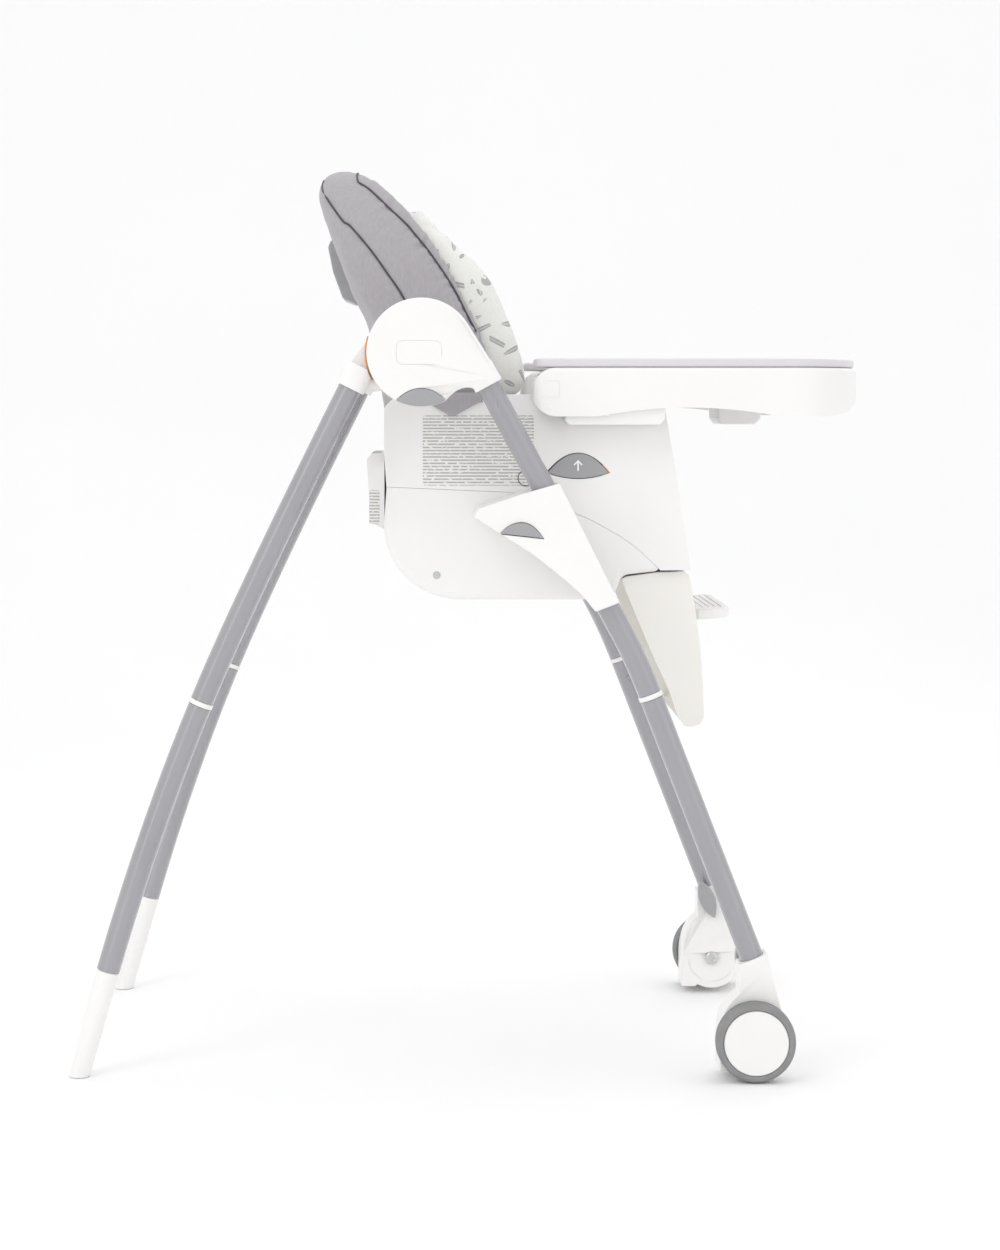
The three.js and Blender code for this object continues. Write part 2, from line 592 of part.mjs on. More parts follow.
// ---- backrest -------------------------------------------------------------------------------
const backrest = subgroup(seatRise);
const backStretch = (backTop - backBase) / 254;
const stretchedHeight = (z) => (z > backBase ? backBase + (z - backBase) * backStretch : z);
const stretched = (points) => points.map(([a, z]) => [a, stretchedHeight(z)]);
const backOuter = stretched([[-20, 676], [-30, 700], [-38, 745], [-48, 800], [-58, 843], [-72, 866],
  [-102, 946], [-112, 975], [-121, 1004], [-117, 1014], [-100, 1022], [-84, 1024]]);
const wingEdge = stretched([[-60, 1014], [-36, 994], [-14, 971], [12, 940], [35, 904], [53, 871], [71, 832],
  [94, 770], [88, 735], [66, 704], [30, 680]]);
const backInner = stretched([[-4, 692], [-12, 720], [-22, 760], [-32, 802], [-42, 845], [-56, 876], [-84, 948],
  [-96, 984]]);
const backFrontShape = stretched([[backHalf, 676], [backHalf, 760], [backHalf, 905], [backHalf - 8, 955],
  [backHalf - 30, 995], [backHalf - 68, 1018], [backHalf - 108, 1024]]);

const mirrorOutline = (half) => [...half, ...half.slice().reverse().map(([y, z]) => [-y, z])];

// Front outline drawn in by an edge, open at the bottom.
function innerFront(edge) {
  const upper = backFrontShape.filter(([, z]) => z >= 760).map(([y, z]) => [y - edge, z - edge]);
  return forward(polygon(mirrorOutline([[backHalf - edge, 500], ...upper])), -200, 300);
}

function backrestShell() {
  const side = sideways(polygon([...backOuter, ...wingEdge]), -backHalf - 1, backHalf + 1);
  const front = forward(polygon(mirrorOutline(backFrontShape)), -200, 200);
  const hollowFront = stretched([[-80, 1006], [200, 1006], [200, 640], [30, 640]]);
  const hollowSide = sideways(polygon([...backInner, ...hollowFront]), -backHalf, backHalf);
  const floor = block(-60, 200, -backHalf, backHalf, 600, 686);
  const hollow = cut(overlap(hollowSide, innerFront(backWing)), floor);
  return cut(overlap(side, front), hollow);
}
addTo(backrest, 'backrest_shell', backrestShell(), greyFabric());

const shift = (points, dx, dz) => points.map(([x, z]) => [x + dx, z + dz]);
const padBack = shift(backInner.slice(0, -1), padGap, 0);
const padFront = shift(backInner.slice(0, -1), padGap + 25, 8);
const padInnerHalf = backHalf - backWing - padGap;
const backPadHalf = padInnerHalf - bolsterThick - padGap;
const backPad = sideways(polygon([...padBack, ...padFront.slice().reverse()]), -backPadHalf, backPadHalf);
addTo(backrest, 'back_pad', overlap(backPad, innerFront(backWing + padGap)), padFabric());

const bolsterFront = stretched([[112, 757], [119, 769], [118, 788], [104, 833], [82.5, 882], [55, 914],
  [19.5, 945], [-8, 970]]);
const bolsterTop = stretched([[-60, 962]]);
const bolsterFoot = [[92, 752], [64, 716], [34, 696]];
const bolsterProfile = [...padBack, ...bolsterTop, ...bolsterFront.slice().reverse(), ...bolsterFoot];
const bolster = overlap(sideways(polygon(bolsterProfile), padInnerHalf - bolsterThick, padInnerHalf),
  innerFront(backWing + padGap));
addPair(backrest, 'side_bolster', bolster, padFabric);

const strapLine = shift(padFront.slice(1, 6), touchGap, 0);
const shoulderStrap = polygon([...strapLine, ...shift(strapLine, strapThick, 0).reverse()]);
addPair(backrest, 'shoulder_strap', sideways(shoulderStrap, 32, 32 + strapWide), webbing);

// Squeeze handle that frees the recline, hinged at its upper edge on the back.
const reclineHalf = 46;
const reclineHandle = polygon(stretched([[-100.6, 938], [-86.5, 900], [-73.6, 868], [-76, 862], [-92, 868],
  [-104, 900], [-110, 930], [-106, 938]]));
addTo(backrest, 'recline_handle', sideways(reclineHandle, -reclineHalf, reclineHalf), greyPlastic());

// ---- tray --------------------------------------------------------------------------------------
const tray = subgroup(seatRise);

// Plan of the tray, drawn in by an edge; the notch behind is where the child sits.
function trayPlan(edge) {
  const half = trayHalf - edge;
  const front = trayFront - edge;
  const rear = trayRear + edge;
  const belly = trayBellyHalf + edge;
  const bellyFront = trayBellyFront + edge;
  const shape = new THREE.Shape();
  shape.moveTo(rear, -half);
  shape.lineTo(front - 108, -half);
  shape.bezierCurveTo(front - 40, -half, front, -half * 0.62, front, 0);
  shape.bezierCurveTo(front, half * 0.62, front - 40, half, front - 108, half);
  shape.lineTo(rear, half);
  shape.lineTo(rear, belly);
  shape.lineTo(bellyFront - 60, belly);
  shape.bezierCurveTo(bellyFront - 15, belly, bellyFront, belly * 0.6, bellyFront, 0);
  shape.bezierCurveTo(bellyFront, -belly * 0.6, bellyFront - 15, -belly, bellyFront - 60, -belly);
  shape.lineTo(rear, -belly);
  return shape;
}

function traySide() {
  const shape = new THREE.Shape();
  const mid = (trayLow + trayHigh) / 2;
  const bend = (trayHigh - trayLow) / 2;
  shape.moveTo(trayRear + bend, trayLow);
  shape.lineTo(198, trayLow);
  shape.quadraticCurveTo(300, trayLow + 20, 402, trayLow);
  shape.lineTo(trayFront - 50, trayLow);
  shape.quadraticCurveTo(trayFront - 6, trayLow + 6, trayFront, trayHigh - 10);
  shape.lineTo(trayFront - 4, trayHigh);
  shape.lineTo(trayRear + bend, trayHigh);
  shape.absarc(trayRear + bend, mid, bend, Math.PI / 2, Math.PI * 1.5, false);
  return shape;
}

const railPlay = 3;              // between an armrest and the slot it passes through
function trayBody() {
  const solid = overlap(upward(trayPlan(0), trayLow, trayHigh, 10), sideways(traySide(), -300, 300, 8));
  const railSlot = block(trayRear - 5, trayRear + 60, wellHalf - railPlay, seatHalf + railPlay,
    trayLow - 5, armrestHeight + railPlay);
  return cut(solid, upward(trayPlan(trayWall), trayLow - 5, trayHigh - trayWall, 8),
    railSlot, mirrored(railSlot));
}
addTo(tray, 'tray_body', trayBody(), whitePlastic());

const sliderTop = trayHigh - trayWall - touchGap;
const sliderOut = trayHalf - trayWall - touchGap;
// Each slider hangs outside an armrest and has a ledge that rests on top of it.
const sliderSide = sideways(polygon([[162, 726], [166, 721.5], [268, 721.5], [274, 728],
  [274, sliderTop], [162, sliderTop]]), wellHalf - 2, sliderOut);
const sliderFront = forward(polygon([[seatHalf + 2, 700], [sliderOut, 700], [sliderOut, sliderTop],
  [wellHalf - 2, sliderTop], [wellHalf - 2, armrestHeight + touchGap], [seatHalf + 2, armrestHeight + touchGap]]),
0, 400);
addPair(tray, 'tray_slider', overlap(sliderSide, sliderFront), whitePlastic);

function trayInsert() {
  const low = trayHigh + touchGap;
  const plate = upward(trayPlan(3), low, low + insertThick, 8);
  const recess = upward(trayPlan(14), low + 4, low + insertThick + 5, 8);
  return cut(plate, recess);
}
addTo(tray, 'tray_insert', trayInsert(), insertPlastic());

const trayHandleProfile = polygon([[354, 721], [392, 721], [399, 728], [399, 760], [349, 760], [349, 728]]);
addTo(tray, 'tray_handle', sideways(trayHandleProfile, -55, 55), greyPlastic());

// ---- calf rest and footplate --------------------------------------------------------------------
const lowerSeat = subgroup(seatRise);
const calfProfile = [[228, 547], [236, 550.5], [296, 551], [305, 546], [311, 520], [318, 468], [321, 424],
  [322, 388], [318, 381], [308, 377.5], [299, 379], [293, 388], [280, 425], [268, 450], [233, 532]];
const calfHollow = [[205, 545], [236, 544], [293, 545], [299, 541], [305, 518], [312, 468], [315, 424],
  [315.5, 392], [309, 385], [290, 372], [262, 430], [215, 530]];
addTo(lowerSeat, 'calf_rest', cut(sideways(polygon(calfProfile), -calfHalf, calfHalf),
  sideways(polygon(calfHollow), -calfHalf + calfWall, calfHalf - calfWall)), whitePlastic());

function footplate() {
  const shape = new THREE.Shape();
  const rear = 315.2;
  const front = 357;
  const half = footplateHalf;
  shape.moveTo(rear, -half + 6);
  shape.lineTo(rear, half - 6);
  shape.lineTo(rear + 6, half);
  shape.lineTo(front - 20, half);
  shape.quadraticCurveTo(front, half, front, half - 24);
  shape.lineTo(front, -half + 24);
  shape.quadraticCurveTo(front, -half, front - 20, -half);
  shape.lineTo(rear + 6, -half);
  shape.lineTo(rear, -half + 6);
  return upward(shape, 498, 498 + footplateThick, 6);
}
addTo(lowerSeat, 'footplate', footplate(), whitePlastic());

// ---- origin: middle of the footprint, on the floor --------------------------------------------
const bounds = new THREE.Box3().setFromObject(chair);
chair.position.set(-(bounds.min.x + bounds.max.x) / 2, 0, -bounds.min.z);
chair.updateMatrixWorld(true);

export default chair;
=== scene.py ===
import math

import bmesh
import bpy
import numpy as np
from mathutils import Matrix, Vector, noise
from mathutils.bvhtree import BVHTree


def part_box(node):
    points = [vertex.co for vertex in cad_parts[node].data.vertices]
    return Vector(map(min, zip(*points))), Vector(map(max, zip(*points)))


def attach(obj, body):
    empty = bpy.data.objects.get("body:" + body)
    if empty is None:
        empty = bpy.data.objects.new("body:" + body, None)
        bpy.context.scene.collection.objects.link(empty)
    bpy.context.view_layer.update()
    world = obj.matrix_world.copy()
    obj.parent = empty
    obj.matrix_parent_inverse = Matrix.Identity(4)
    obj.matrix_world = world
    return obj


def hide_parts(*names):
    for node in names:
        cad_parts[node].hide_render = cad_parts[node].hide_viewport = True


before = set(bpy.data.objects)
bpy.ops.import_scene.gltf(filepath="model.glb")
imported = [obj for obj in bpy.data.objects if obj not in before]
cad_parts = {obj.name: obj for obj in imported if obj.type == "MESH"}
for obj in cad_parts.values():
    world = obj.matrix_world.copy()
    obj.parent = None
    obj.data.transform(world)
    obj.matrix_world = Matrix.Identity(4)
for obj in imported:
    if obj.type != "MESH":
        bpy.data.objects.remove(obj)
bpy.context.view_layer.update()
mm = 0.001

# every outline below is in millimetres from the fold axis (x), the middle (y) and the floor (z)
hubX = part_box("front_knuckle_L")[0][0] + 60 * mm


def at(x, y, z):
    return Vector((hubX + x * mm, y * mm, z * mm))


print("camera and studio")
cameraSetup = {"lens": 85.2, "eye": (0, -3530, 745), "shift": (0.0632, -0.1768)}


def addCamera():
    data = bpy.data.cameras.new("camera")
    data.lens = cameraSetup["lens"]
    data.sensor_width = 36
    data.shift_x, data.shift_y = cameraSetup["shift"]
    camera = bpy.data.objects.new("camera", data)
    bpy.context.scene.collection.objects.link(camera)
    camera.location = at(*cameraSetup["eye"])
    camera.rotation_euler = (math.pi / 2, 0, 0)
    bpy.context.scene.camera = camera


addCamera()


# each finish has its own small recipe
def startMaterial(name, colour, roughness, metallic=0.0):
    material = bpy.data.materials.new(name)
    material.use_nodes = True
    shader = material.node_tree.nodes["Principled BSDF"]
    shader.inputs["Base Color"].default_value = (*colour, 1)
    shader.inputs["Roughness"].default_value = roughness
    shader.inputs["Metallic"].default_value = metallic
    return material, (material.node_tree.nodes, material.node_tree.links), shader


def objectNoise(kit, scale, detail=3.0, stretch=(1, 1, 1)):
    nodes, links = kit
    coords = nodes.new("ShaderNodeTexCoord")
    mapping = nodes.new("ShaderNodeMapping")
    mapping.inputs["Scale"].default_value = stretch
    texture = nodes.new("ShaderNodeTexNoise")
    texture.inputs["Scale"].default_value = scale
    texture.inputs["Detail"].default_value = detail
    links.new(coords.outputs["Object"], mapping.inputs["Vector"])
    links.new(mapping.outputs["Vector"], texture.inputs["Vector"])
    return texture.outputs["Fac"]


def spread(kit, source, low, high, fromLow=0.3, fromHigh=0.7):
    nodes, links = kit
    node = nodes.new("ShaderNodeMapRange")
    node.inputs["From Min"].default_value = fromLow
    node.inputs["From Max"].default_value = fromHigh
    node.inputs["To Min"].default_value = low
    node.inputs["To Max"].default_value = high
    links.new(source, node.inputs["Value"])
    return node.outputs["Result"]


def blendColour(kit, factor, first, second):
    nodes, links = kit
    node = nodes.new("ShaderNodeMix")
    node.data_type = "RGBA"
    for slot, value in ((6, first), (7, second)):
        if isinstance(value, tuple):
            node.inputs[slot].default_value = (*value, 1)
        else:
            links.new(value, node.inputs[slot])
    links.new(factor, node.inputs[0])
    return node.outputs[2]


def addBump(kit, shader, heights):
    nodes, links = kit
    previous = None
    for height, strength, distance in heights:
        bump = nodes.new("ShaderNodeBump")
        bump.inputs["Strength"].default_value = strength
        bump.inputs["Distance"].default_value = distance
        links.new(height, bump.inputs["Height"])
        if previous:
            links.new(previous, bump.inputs["Normal"])
        previous = bump.outputs["Normal"]
    links.new(previous, shader.inputs["Normal"])


def math2(kit, operation, first, second=None):
    nodes, links = kit
    node = nodes.new("ShaderNodeMath")
    node.operation = operation
    for slot, value in enumerate((first, second)):
        if value is None:
            continue
        if isinstance(value, (int, float)):
            node.inputs[slot].default_value = value
        else:
            links.new(value, node.inputs[slot])
    return node.outputs[0]


def mouldedPlastic(name, colour, roughness=0.36, grain=0.10, coat=0.25):
    material, kit, shader = startMaterial(name, colour, roughness)
    links = kit[1]
    shader.inputs["Coat Weight"].default_value = coat
    shader.inputs["Coat Roughness"].default_value = 0.25
    shader.inputs["Subsurface Weight"].default_value = 0.04
    shader.inputs["Subsurface Scale"].default_value = 0.004
    clouds = objectNoise(kit, 9, 4)
    sparks = objectNoise(kit, 1500, 2)
    flow = objectNoise(kit, 40, 5)
    darker = tuple(c * 0.965 for c in colour)
    tone = blendColour(kit, spread(kit, clouds, 0, 1), colour, darker)
    links.new(tone, shader.inputs["Base Color"])
    links.new(spread(kit, flow, roughness - 0.05, roughness + 0.08), shader.inputs["Roughness"])
    addBump(kit, shader, [(sparks, grain, 0.0002), (clouds, 0.08, 0.0008)])
    return material


def powderCoat(name, colour, roughness=0.33):
    material, kit, shader = startMaterial(name, colour, roughness, 0.35)
    links = kit[1]
    shader.inputs["Coat Weight"].default_value = 0.9
    shader.inputs["Coat Roughness"].default_value = 0.09
    peel = objectNoise(kit, 700, 3)
    wear = objectNoise(kit, 22, 6, (1, 1, 0.25))
    lighter = tuple(min(1, c * 1.07) for c in colour)
    tone = blendColour(kit, spread(kit, wear, 0, 1), colour, lighter)
    links.new(tone, shader.inputs["Base Color"])
    links.new(spread(kit, wear, roughness - 0.06, roughness + 0.1), shader.inputs["Roughness"])
    addBump(kit, shader, [(peel, 0.14, 0.0002)])
    return material


def treadRubber(name, colour):
    material, kit, shader = startMaterial(name, colour, 0.72)
    links = kit[1]
    shader.inputs["Specular IOR Level"].default_value = 0.35
    dust = objectNoise(kit, 60, 6)
    pores = objectNoise(kit, 1800, 2)
    scuffed = tuple(min(1, c * 1.18) for c in colour)
    tone = blendColour(kit, spread(kit, dust, 0, 1, 0.42, 0.72), colour, scuffed)
    links.new(tone, shader.inputs["Base Color"])
    links.new(spread(kit, dust, 0.62, 0.85), shader.inputs["Roughness"])
    addBump(kit, shader, [(pores, 0.25, 0.0003)])
    return material


def platedSteel(name):
    material, kit, shader = startMaterial(name, (0.62, 0.62, 0.63), 0.28, 1.0)
    links = kit[1]
    scratches = objectNoise(kit, 260, 4, (1, 12, 1))
    links.new(spread(kit, scratches, 0.2, 0.42), shader.inputs["Roughness"])
    addBump(kit, shader, [(scratches, 0.1, 0.0002)])
    return material


# threads crossing in all three directions, so the weave needs no flattening
def weaveHeight(kit, pitch):
    nodes, links = kit
    coords = nodes.new("ShaderNodeTexCoord")
    parts = nodes.new("ShaderNodeSeparateXYZ")
    links.new(coords.outputs["Object"], parts.inputs[0])
    turn = 2 * math.pi / pitch
    waves = []
    for along in ("X", "Y", "Z"):
        angle = math2(kit, "MULTIPLY", parts.outputs[along], turn)
        waves.append(math2(kit, "SINE", angle))
    first = math2(kit, "MULTIPLY", waves[0], waves[2])
    second = math2(kit, "MULTIPLY", waves[1], waves[2])
    third = math2(kit, "MULTIPLY", waves[0], waves[1])
    return math2(kit, "ADD", math2(kit, "ADD", first, second), third)


def wovenCloth(name, colour, pitch=0.0013, mottle=0.12):
    material, kit, shader = startMaterial(name, colour, 0.86)
    links = kit[1]
    shader.inputs["Sheen Weight"].default_value = 0.25
    shader.inputs["Sheen Roughness"].default_value = 0.5
    shader.inputs["Specular IOR Level"].default_value = 0.25
    weave = weaveHeight(kit, pitch)
    yarns = objectNoise(kit, 420, 4, (1, 1, 0.3))
    creases = objectNoise(kit, 26, 5)
    darker = tuple(c * (1 - mottle) for c in colour)
    fine = blendColour(kit, spread(kit, yarns, 0, 1), colour, darker)
    crossed = blendColour(kit, spread(kit, weave, 0, 0.35, -1, 1), fine, darker)
    links.new(crossed, shader.inputs["Base Color"])
    links.new(spread(kit, creases, 0.8, 0.93), shader.inputs["Roughness"])
    addBump(kit, shader, [(weave, 0.22, 0.0004), (yarns, 0.12, 0.0005), (creases, 0.25, 0.003)])
    return material


# pale cloth with small scattered leaves, each turned its own way
def leafCloth(name, colour, leaf):
    material, kit, shader = startMaterial(name, colour, 0.88)
    nodes, links = kit
    shader.inputs["Sheen Weight"].default_value = 0.2
    shader.inputs["Specular IOR Level"].default_value = 0.25
    coords = nodes.new("ShaderNodeTexCoord")
    mapping = nodes.new("ShaderNodeMapping")
    mapping.inputs["Scale"].default_value = (44, 44, 44)
    mapping.inputs["Rotation"].default_value = (0.3, 0.2, 0.5)
    links.new(coords.outputs["Object"], mapping.inputs["Vector"])
    cells = nodes.new("ShaderNodeTexVoronoi")
    cells.inputs["Scale"].default_value = 1
    cells.inputs["Randomness"].default_value = 0.75
    links.new(mapping.outputs["Vector"], cells.inputs["Vector"])
    local = nodes.new("ShaderNodeVectorMath")
    local.operation = "SUBTRACT"
    links.new(mapping.outputs["Vector"], local.inputs[0])
    links.new(cells.outputs["Position"], local.inputs[1])
    turn = nodes.new("ShaderNodeVectorRotate")
    turn.rotation_type = "EULER_XYZ"
    spin = nodes.new("ShaderNodeVectorMath")
    spin.operation = "SCALE"
    spin.inputs["Scale"].default_value = 6.0
    links.new(cells.outputs["Color"], spin.inputs[0])
    links.new(spin.outputs[0], turn.inputs["Rotation"])
    links.new(local.outputs[0], turn.inputs["Vector"])
    parts = nodes.new("ShaderNodeSeparateXYZ")
    links.new(turn.outputs[0], parts.inputs[0])
    along = math2(kit, "MULTIPLY", parts.outputs["X"], 1 / 0.36)
    width = math2(kit, "SUBTRACT", 1.0, math2(kit, "MULTIPLY", along, along))
    side = math2(kit, "ABSOLUTE", parts.outputs["Y"])
    leafHalf = math2(kit, "MULTIPLY", width, 0.12)
    inside = math2(kit, "GREATER_THAN", leafHalf, side)
    vein = math2(kit, "GREATER_THAN", side, 0.012)
    keep = math2(kit, "GREATER_THAN", parts.outputs["Z"], -0.3)
    mask = math2(kit, "MULTIPLY", math2(kit, "MULTIPLY", inside, vein), keep)
    weave = weaveHeight(kit, 0.0012)
    yarns = objectNoise(kit, 500, 3)
    creases = objectNoise(kit, 32, 5)
    darker = tuple(c * 0.94 for c in colour)
    ground = blendColour(kit, spread(kit, yarns, 0, 1), colour, darker)
    inked = blendColour(kit, math2(kit, "MULTIPLY", mask, 0.72), ground, leaf)
    links.new(inked, shader.inputs["Base Color"])
    addBump(kit, shader, [(weave, 0.18, 0.0004), (creases, 0.4, 0.003)])
    return material


def ribbedWebbing(name, colour):
    material, kit, shader = startMaterial(name, colour, 0.85)
    links = kit[1]
    shader.inputs["Sheen Weight"].default_value = 0.2
    ribs = weaveHeight(kit, 0.0022)
    fuzz = objectNoise(kit, 600, 3)
    lighter = tuple(min(1, c * 1.35) for c in colour)
    tone = blendColour(kit, spread(kit, ribs, 0, 1, -1, 1), colour, lighter)
    links.new(tone, shader.inputs["Base Color"])
    addBump(kit, shader, [(ribs, 0.5, 0.0005), (fuzz, 0.15, 0.0003)])
    return material


# plain sticker with faint rules where the small print would be
def ruledLabel(name, paper, ink, pitch):
    material, kit, shader = startMaterial(name, paper, 0.5)
    nodes, links = kit
    coords = nodes.new("ShaderNodeTexCoord")
    parts = nodes.new("ShaderNodeSeparateXYZ")
    links.new(coords.outputs["Object"], parts.inputs[0])
    wave = math2(kit, "SINE", math2(kit, "MULTIPLY", parts.outputs["Z"], 2 * math.pi / pitch))
    rule = math2(kit, "GREATER_THAN", wave, 0.1)
    breaks = objectNoise(kit, 210, 3, (1, 1, 1.1))
    broken = math2(kit, "GREATER_THAN", breaks, 0.42)
    mask = math2(kit, "MULTIPLY", math2(kit, "MULTIPLY", rule, broken), 0.6)
    tone = blendColour(kit, mask, paper, ink)
    links.new(tone, shader.inputs["Base Color"])
    fibres = objectNoise(kit, 900, 2)
    addBump(kit, shader, [(fibres, 0.08, 0.0002)])
    return material


shellWhite = mouldedPlastic("warmWhiteShell", (0.89, 0.88, 0.87))
creamWhite = mouldedPlastic("creamWhiteShell", (0.88, 0.86, 0.82), 0.42)
tubeGrey = powderCoat("satinTubeGrey", (0.33, 0.325, 0.35))
buttonGrey = mouldedPlastic("buttonGrey", (0.36, 0.36, 0.375), 0.42, 0.16, 0.15)
insertLilac = mouldedPlastic("insertLilac", (0.69, 0.675, 0.70), 0.38)
# orange-tinted painted shade for the gaps beside the fold disc and round the seat button
orangeGapShade = mouldedPlastic("orangeGapShade", (0.72, 0.28, 0.05), 0.4)
shadowGap = mouldedPlastic("shadowGap", (0.05, 0.05, 0.055), 0.7)
markWhite = mouldedPlastic("markWhite", (0.93, 0.93, 0.93), 0.5)
wheelGrey = treadRubber("wheelGrey", (0.25, 0.25, 0.255))
pinSteel = platedSteel("pinSteel")
coverGrey = wovenCloth("coverGrey", (0.435, 0.415, 0.438))
pipingDark = wovenCloth("pipingDark", (0.10, 0.095, 0.11), 0.0009, 0.3)
padPale = leafCloth("padPale", (0.84, 0.84, 0.805), (0.27, 0.29, 0.29))
strapGrey = ribbedWebbing("strapGrey", (0.20, 0.20, 0.22))
printedLabel = ruledLabel("printedLabel", (0.84, 0.83, 0.81), (0.20, 0.19, 0.19), 0.0036)


studio = {"floorWidth": 14, "front": -6, "bend": 2.6, "radius": 1.6, "wallTop": 7, "world": 0.97,
          "lamps": (("keyLight", (-1.7, -2.6, 2.9), (1.6, 1.6), 15),
                    ("fillLight", (2.6, -2.2, 1.3), (2.4, 2.4), 5),
                    ("topLight", (0.3, 0.3, 3.4), (2.0, 2.0), 7),
                    ("backLight", (1.0, 2.2, 2.2), (1.6, 1.6), 8),
                    ("stripLight", (-2.4, -2.9, 1.1), (0.16, 3.0), 7))}


def addStudio():
    profile = [(studio["front"], 0), (studio["bend"], 0)]
    for i in range(1, 17):
        angle = math.pi / 2 * i / 16
        profile.append((studio["bend"] + studio["radius"] * math.sin(angle),
                        studio["radius"] * (1 - math.cos(angle))))
    profile.append((studio["bend"] + studio["radius"], studio["wallTop"]))
    verts = [(x, y, z - 0.0006) for y, z in profile for x in (-studio["floorWidth"] / 2,
                                                              studio["floorWidth"] / 2)]
    faces = [(2 * i, 2 * i + 1, 2 * i + 3, 2 * i + 2) for i in range(len(profile) - 1)]
    mesh = bpy.data.meshes.new("studioSweep")
    mesh.from_pydata(verts, [], faces)
    floor = bpy.data.objects.new("studioSweep", mesh)
    bpy.context.scene.collection.objects.link(floor)
    for face in mesh.polygons:
        face.use_smooth = True
    material, kit, shader = startMaterial("studioPale", (0.95, 0.95, 0.95), 0.8)
    links = kit[1]
    grain = objectNoise(kit, 3, 4)
    tone = blendColour(kit, spread(kit, grain, 0, 1), (0.95, 0.95, 0.95), (0.94, 0.94, 0.945))
    links.new(tone, shader.inputs["Base Color"])
    mesh.materials.append(material)
    world = bpy.data.worlds.new("studioWorld")
    world.use_nodes = True
    world.node_tree.nodes["Background"].inputs["Color"].default_value = (1, 1, 1, 1)
    world.node_tree.nodes["Background"].inputs["Strength"].default_value = studio["world"]
    bpy.context.scene.world = world
    for name, spot, size, power in studio["lamps"]:
        data = bpy.data.lights.new(name, "AREA")
        data.shape = "RECTANGLE"
        data.size, data.size_y = size
        data.energy = power
        lamp = bpy.data.objects.new(name, data)
        lamp.location = spot
        lamp.rotation_euler = (Vector((0, 0, 0.6)) - Vector(spot)).to_track_quat("-Z", "Y").to_euler()
        bpy.context.scene.collection.objects.link(lamp)


addStudio()
bpy.context.scene.view_settings.view_transform = "Standard"


# puts a piece in the scene, on the body it rides with and in place of the solid it stands for
def place(name, mesh, material, body, replaced=None, sharp=32):
    piece = bpy.data.objects.new(name, finished(mesh, sharp) if sharp else mesh)
    bpy.context.scene.collection.objects.link(piece)
    piece.data.materials.clear()
    piece.data.materials.append(material)
    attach(piece, body)
    if replaced:
        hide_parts(replaced)
    return piece


def meshFrom(verts, faces):
    mesh = bpy.data.meshes.new("shape")
    mesh.from_pydata([tuple(v) for v in verts], [], faces)
    work = bmesh.new()
    work.from_mesh(mesh)
    bmesh.ops.recalc_face_normals(work, faces=work.faces)
    work.to_mesh(mesh)
    work.free()
    return mesh


def rect(left, low, right, high):
    return [(left, low), (right, low), (right, high), (left, high)]


def prism(outline, low, high, axis="y"):
    placers = {"y": lambda a, b, t: at(a, t, b), "z": lambda a, b, t: at(a, b, t),
               "x": lambda a, b, t: at(t, a, b)}
    put = placers[axis]
    count = len(outline)
    verts = [put(a, b, low) for a, b in outline] + [put(a, b, high) for a, b in outline]
    sides = [(i, (i + 1) % count, count + (i + 1) % count, count + i) for i in range(count)]
    faces = [tuple(range(count)), tuple(range(2 * count - 1, count - 1, -1))] + sides
    return meshFrom(verts, faces)


def lathe(profile, x, z, side=1, segments=72):
    verts, faces = [], []
    for i in range(segments):
        angle = 2 * math.pi * i / segments
        for radius, y in profile:
            verts.append(at(x + radius * math.sin(angle), side * y, z - radius * math.cos(angle)))
    count = len(profile)
    for i in range(segments):
        nxt = (i + 1) % segments
        for j in range(count - 1):
            faces.append((i * count + j, nxt * count + j, nxt * count + j + 1, i * count + j + 1))
    mesh = meshFrom(verts, faces)
    work = bmesh.new()
    work.from_mesh(mesh)
    bmesh.ops.remove_doubles(work, verts=work.verts, dist=1e-6)
    bmesh.ops.recalc_face_normals(work, faces=work.faces)
    work.to_mesh(mesh)
    work.free()
    return mesh


def evaluated(mesh, setUp):
    holder = bpy.data.objects.new("holder", mesh)
    bpy.context.scene.collection.objects.link(holder)
    setUp(holder)
    graph = bpy.context.evaluated_depsgraph_get()
    result = bpy.data.meshes.new_from_object(holder.evaluated_get(graph))
    bpy.data.objects.remove(holder)
    return result


def bevelled(mesh, width, segments=4, angle=32):
    def setUp(holder):
        bevel = holder.modifiers.new("bevel", "BEVEL")
        bevel.width = width * mm
        bevel.segments = segments
        bevel.limit_method = "ANGLE"
        bevel.angle_limit = math.radians(angle)
        bevel.use_clamp_overlap = True
    return evaluated(mesh, setUp)


def combined(mesh, other, operation):
    tool = bpy.data.objects.new("tool", other)
    bpy.context.scene.collection.objects.link(tool)

    def setUp(holder):
        boolean = holder.modifiers.new("boolean", "BOOLEAN")
        boolean.operation = operation
        boolean.object = tool
        boolean.solver = "EXACT"
    result = evaluated(mesh, setUp)
    bpy.data.objects.remove(tool)
    return result


def cutFrom(mesh, *tools):
    for tool in tools:
        mesh = combined(mesh, tool, "DIFFERENCE")
    return mesh


def joined(mesh, *others):
    for other in others:
        mesh = combined(mesh, other, "UNION")
    return mesh


def common(mesh, other):
    return combined(mesh, other, "INTERSECT")


def finished(mesh, angle=32):
    for face in mesh.polygons:
        face.use_smooth = True
    mesh.set_sharp_from_angle(angle=math.radians(angle))

    def setUp(holder):
        weighted = holder.modifiers.new("normals", "WEIGHTED_NORMAL")
        weighted.keep_sharp = True
        weighted.weight = 60
    return evaluated(mesh, setUp)


def moved(mesh, change):
    for vertex in mesh.vertices:
        vertex.co = change(vertex.co)
    return mesh


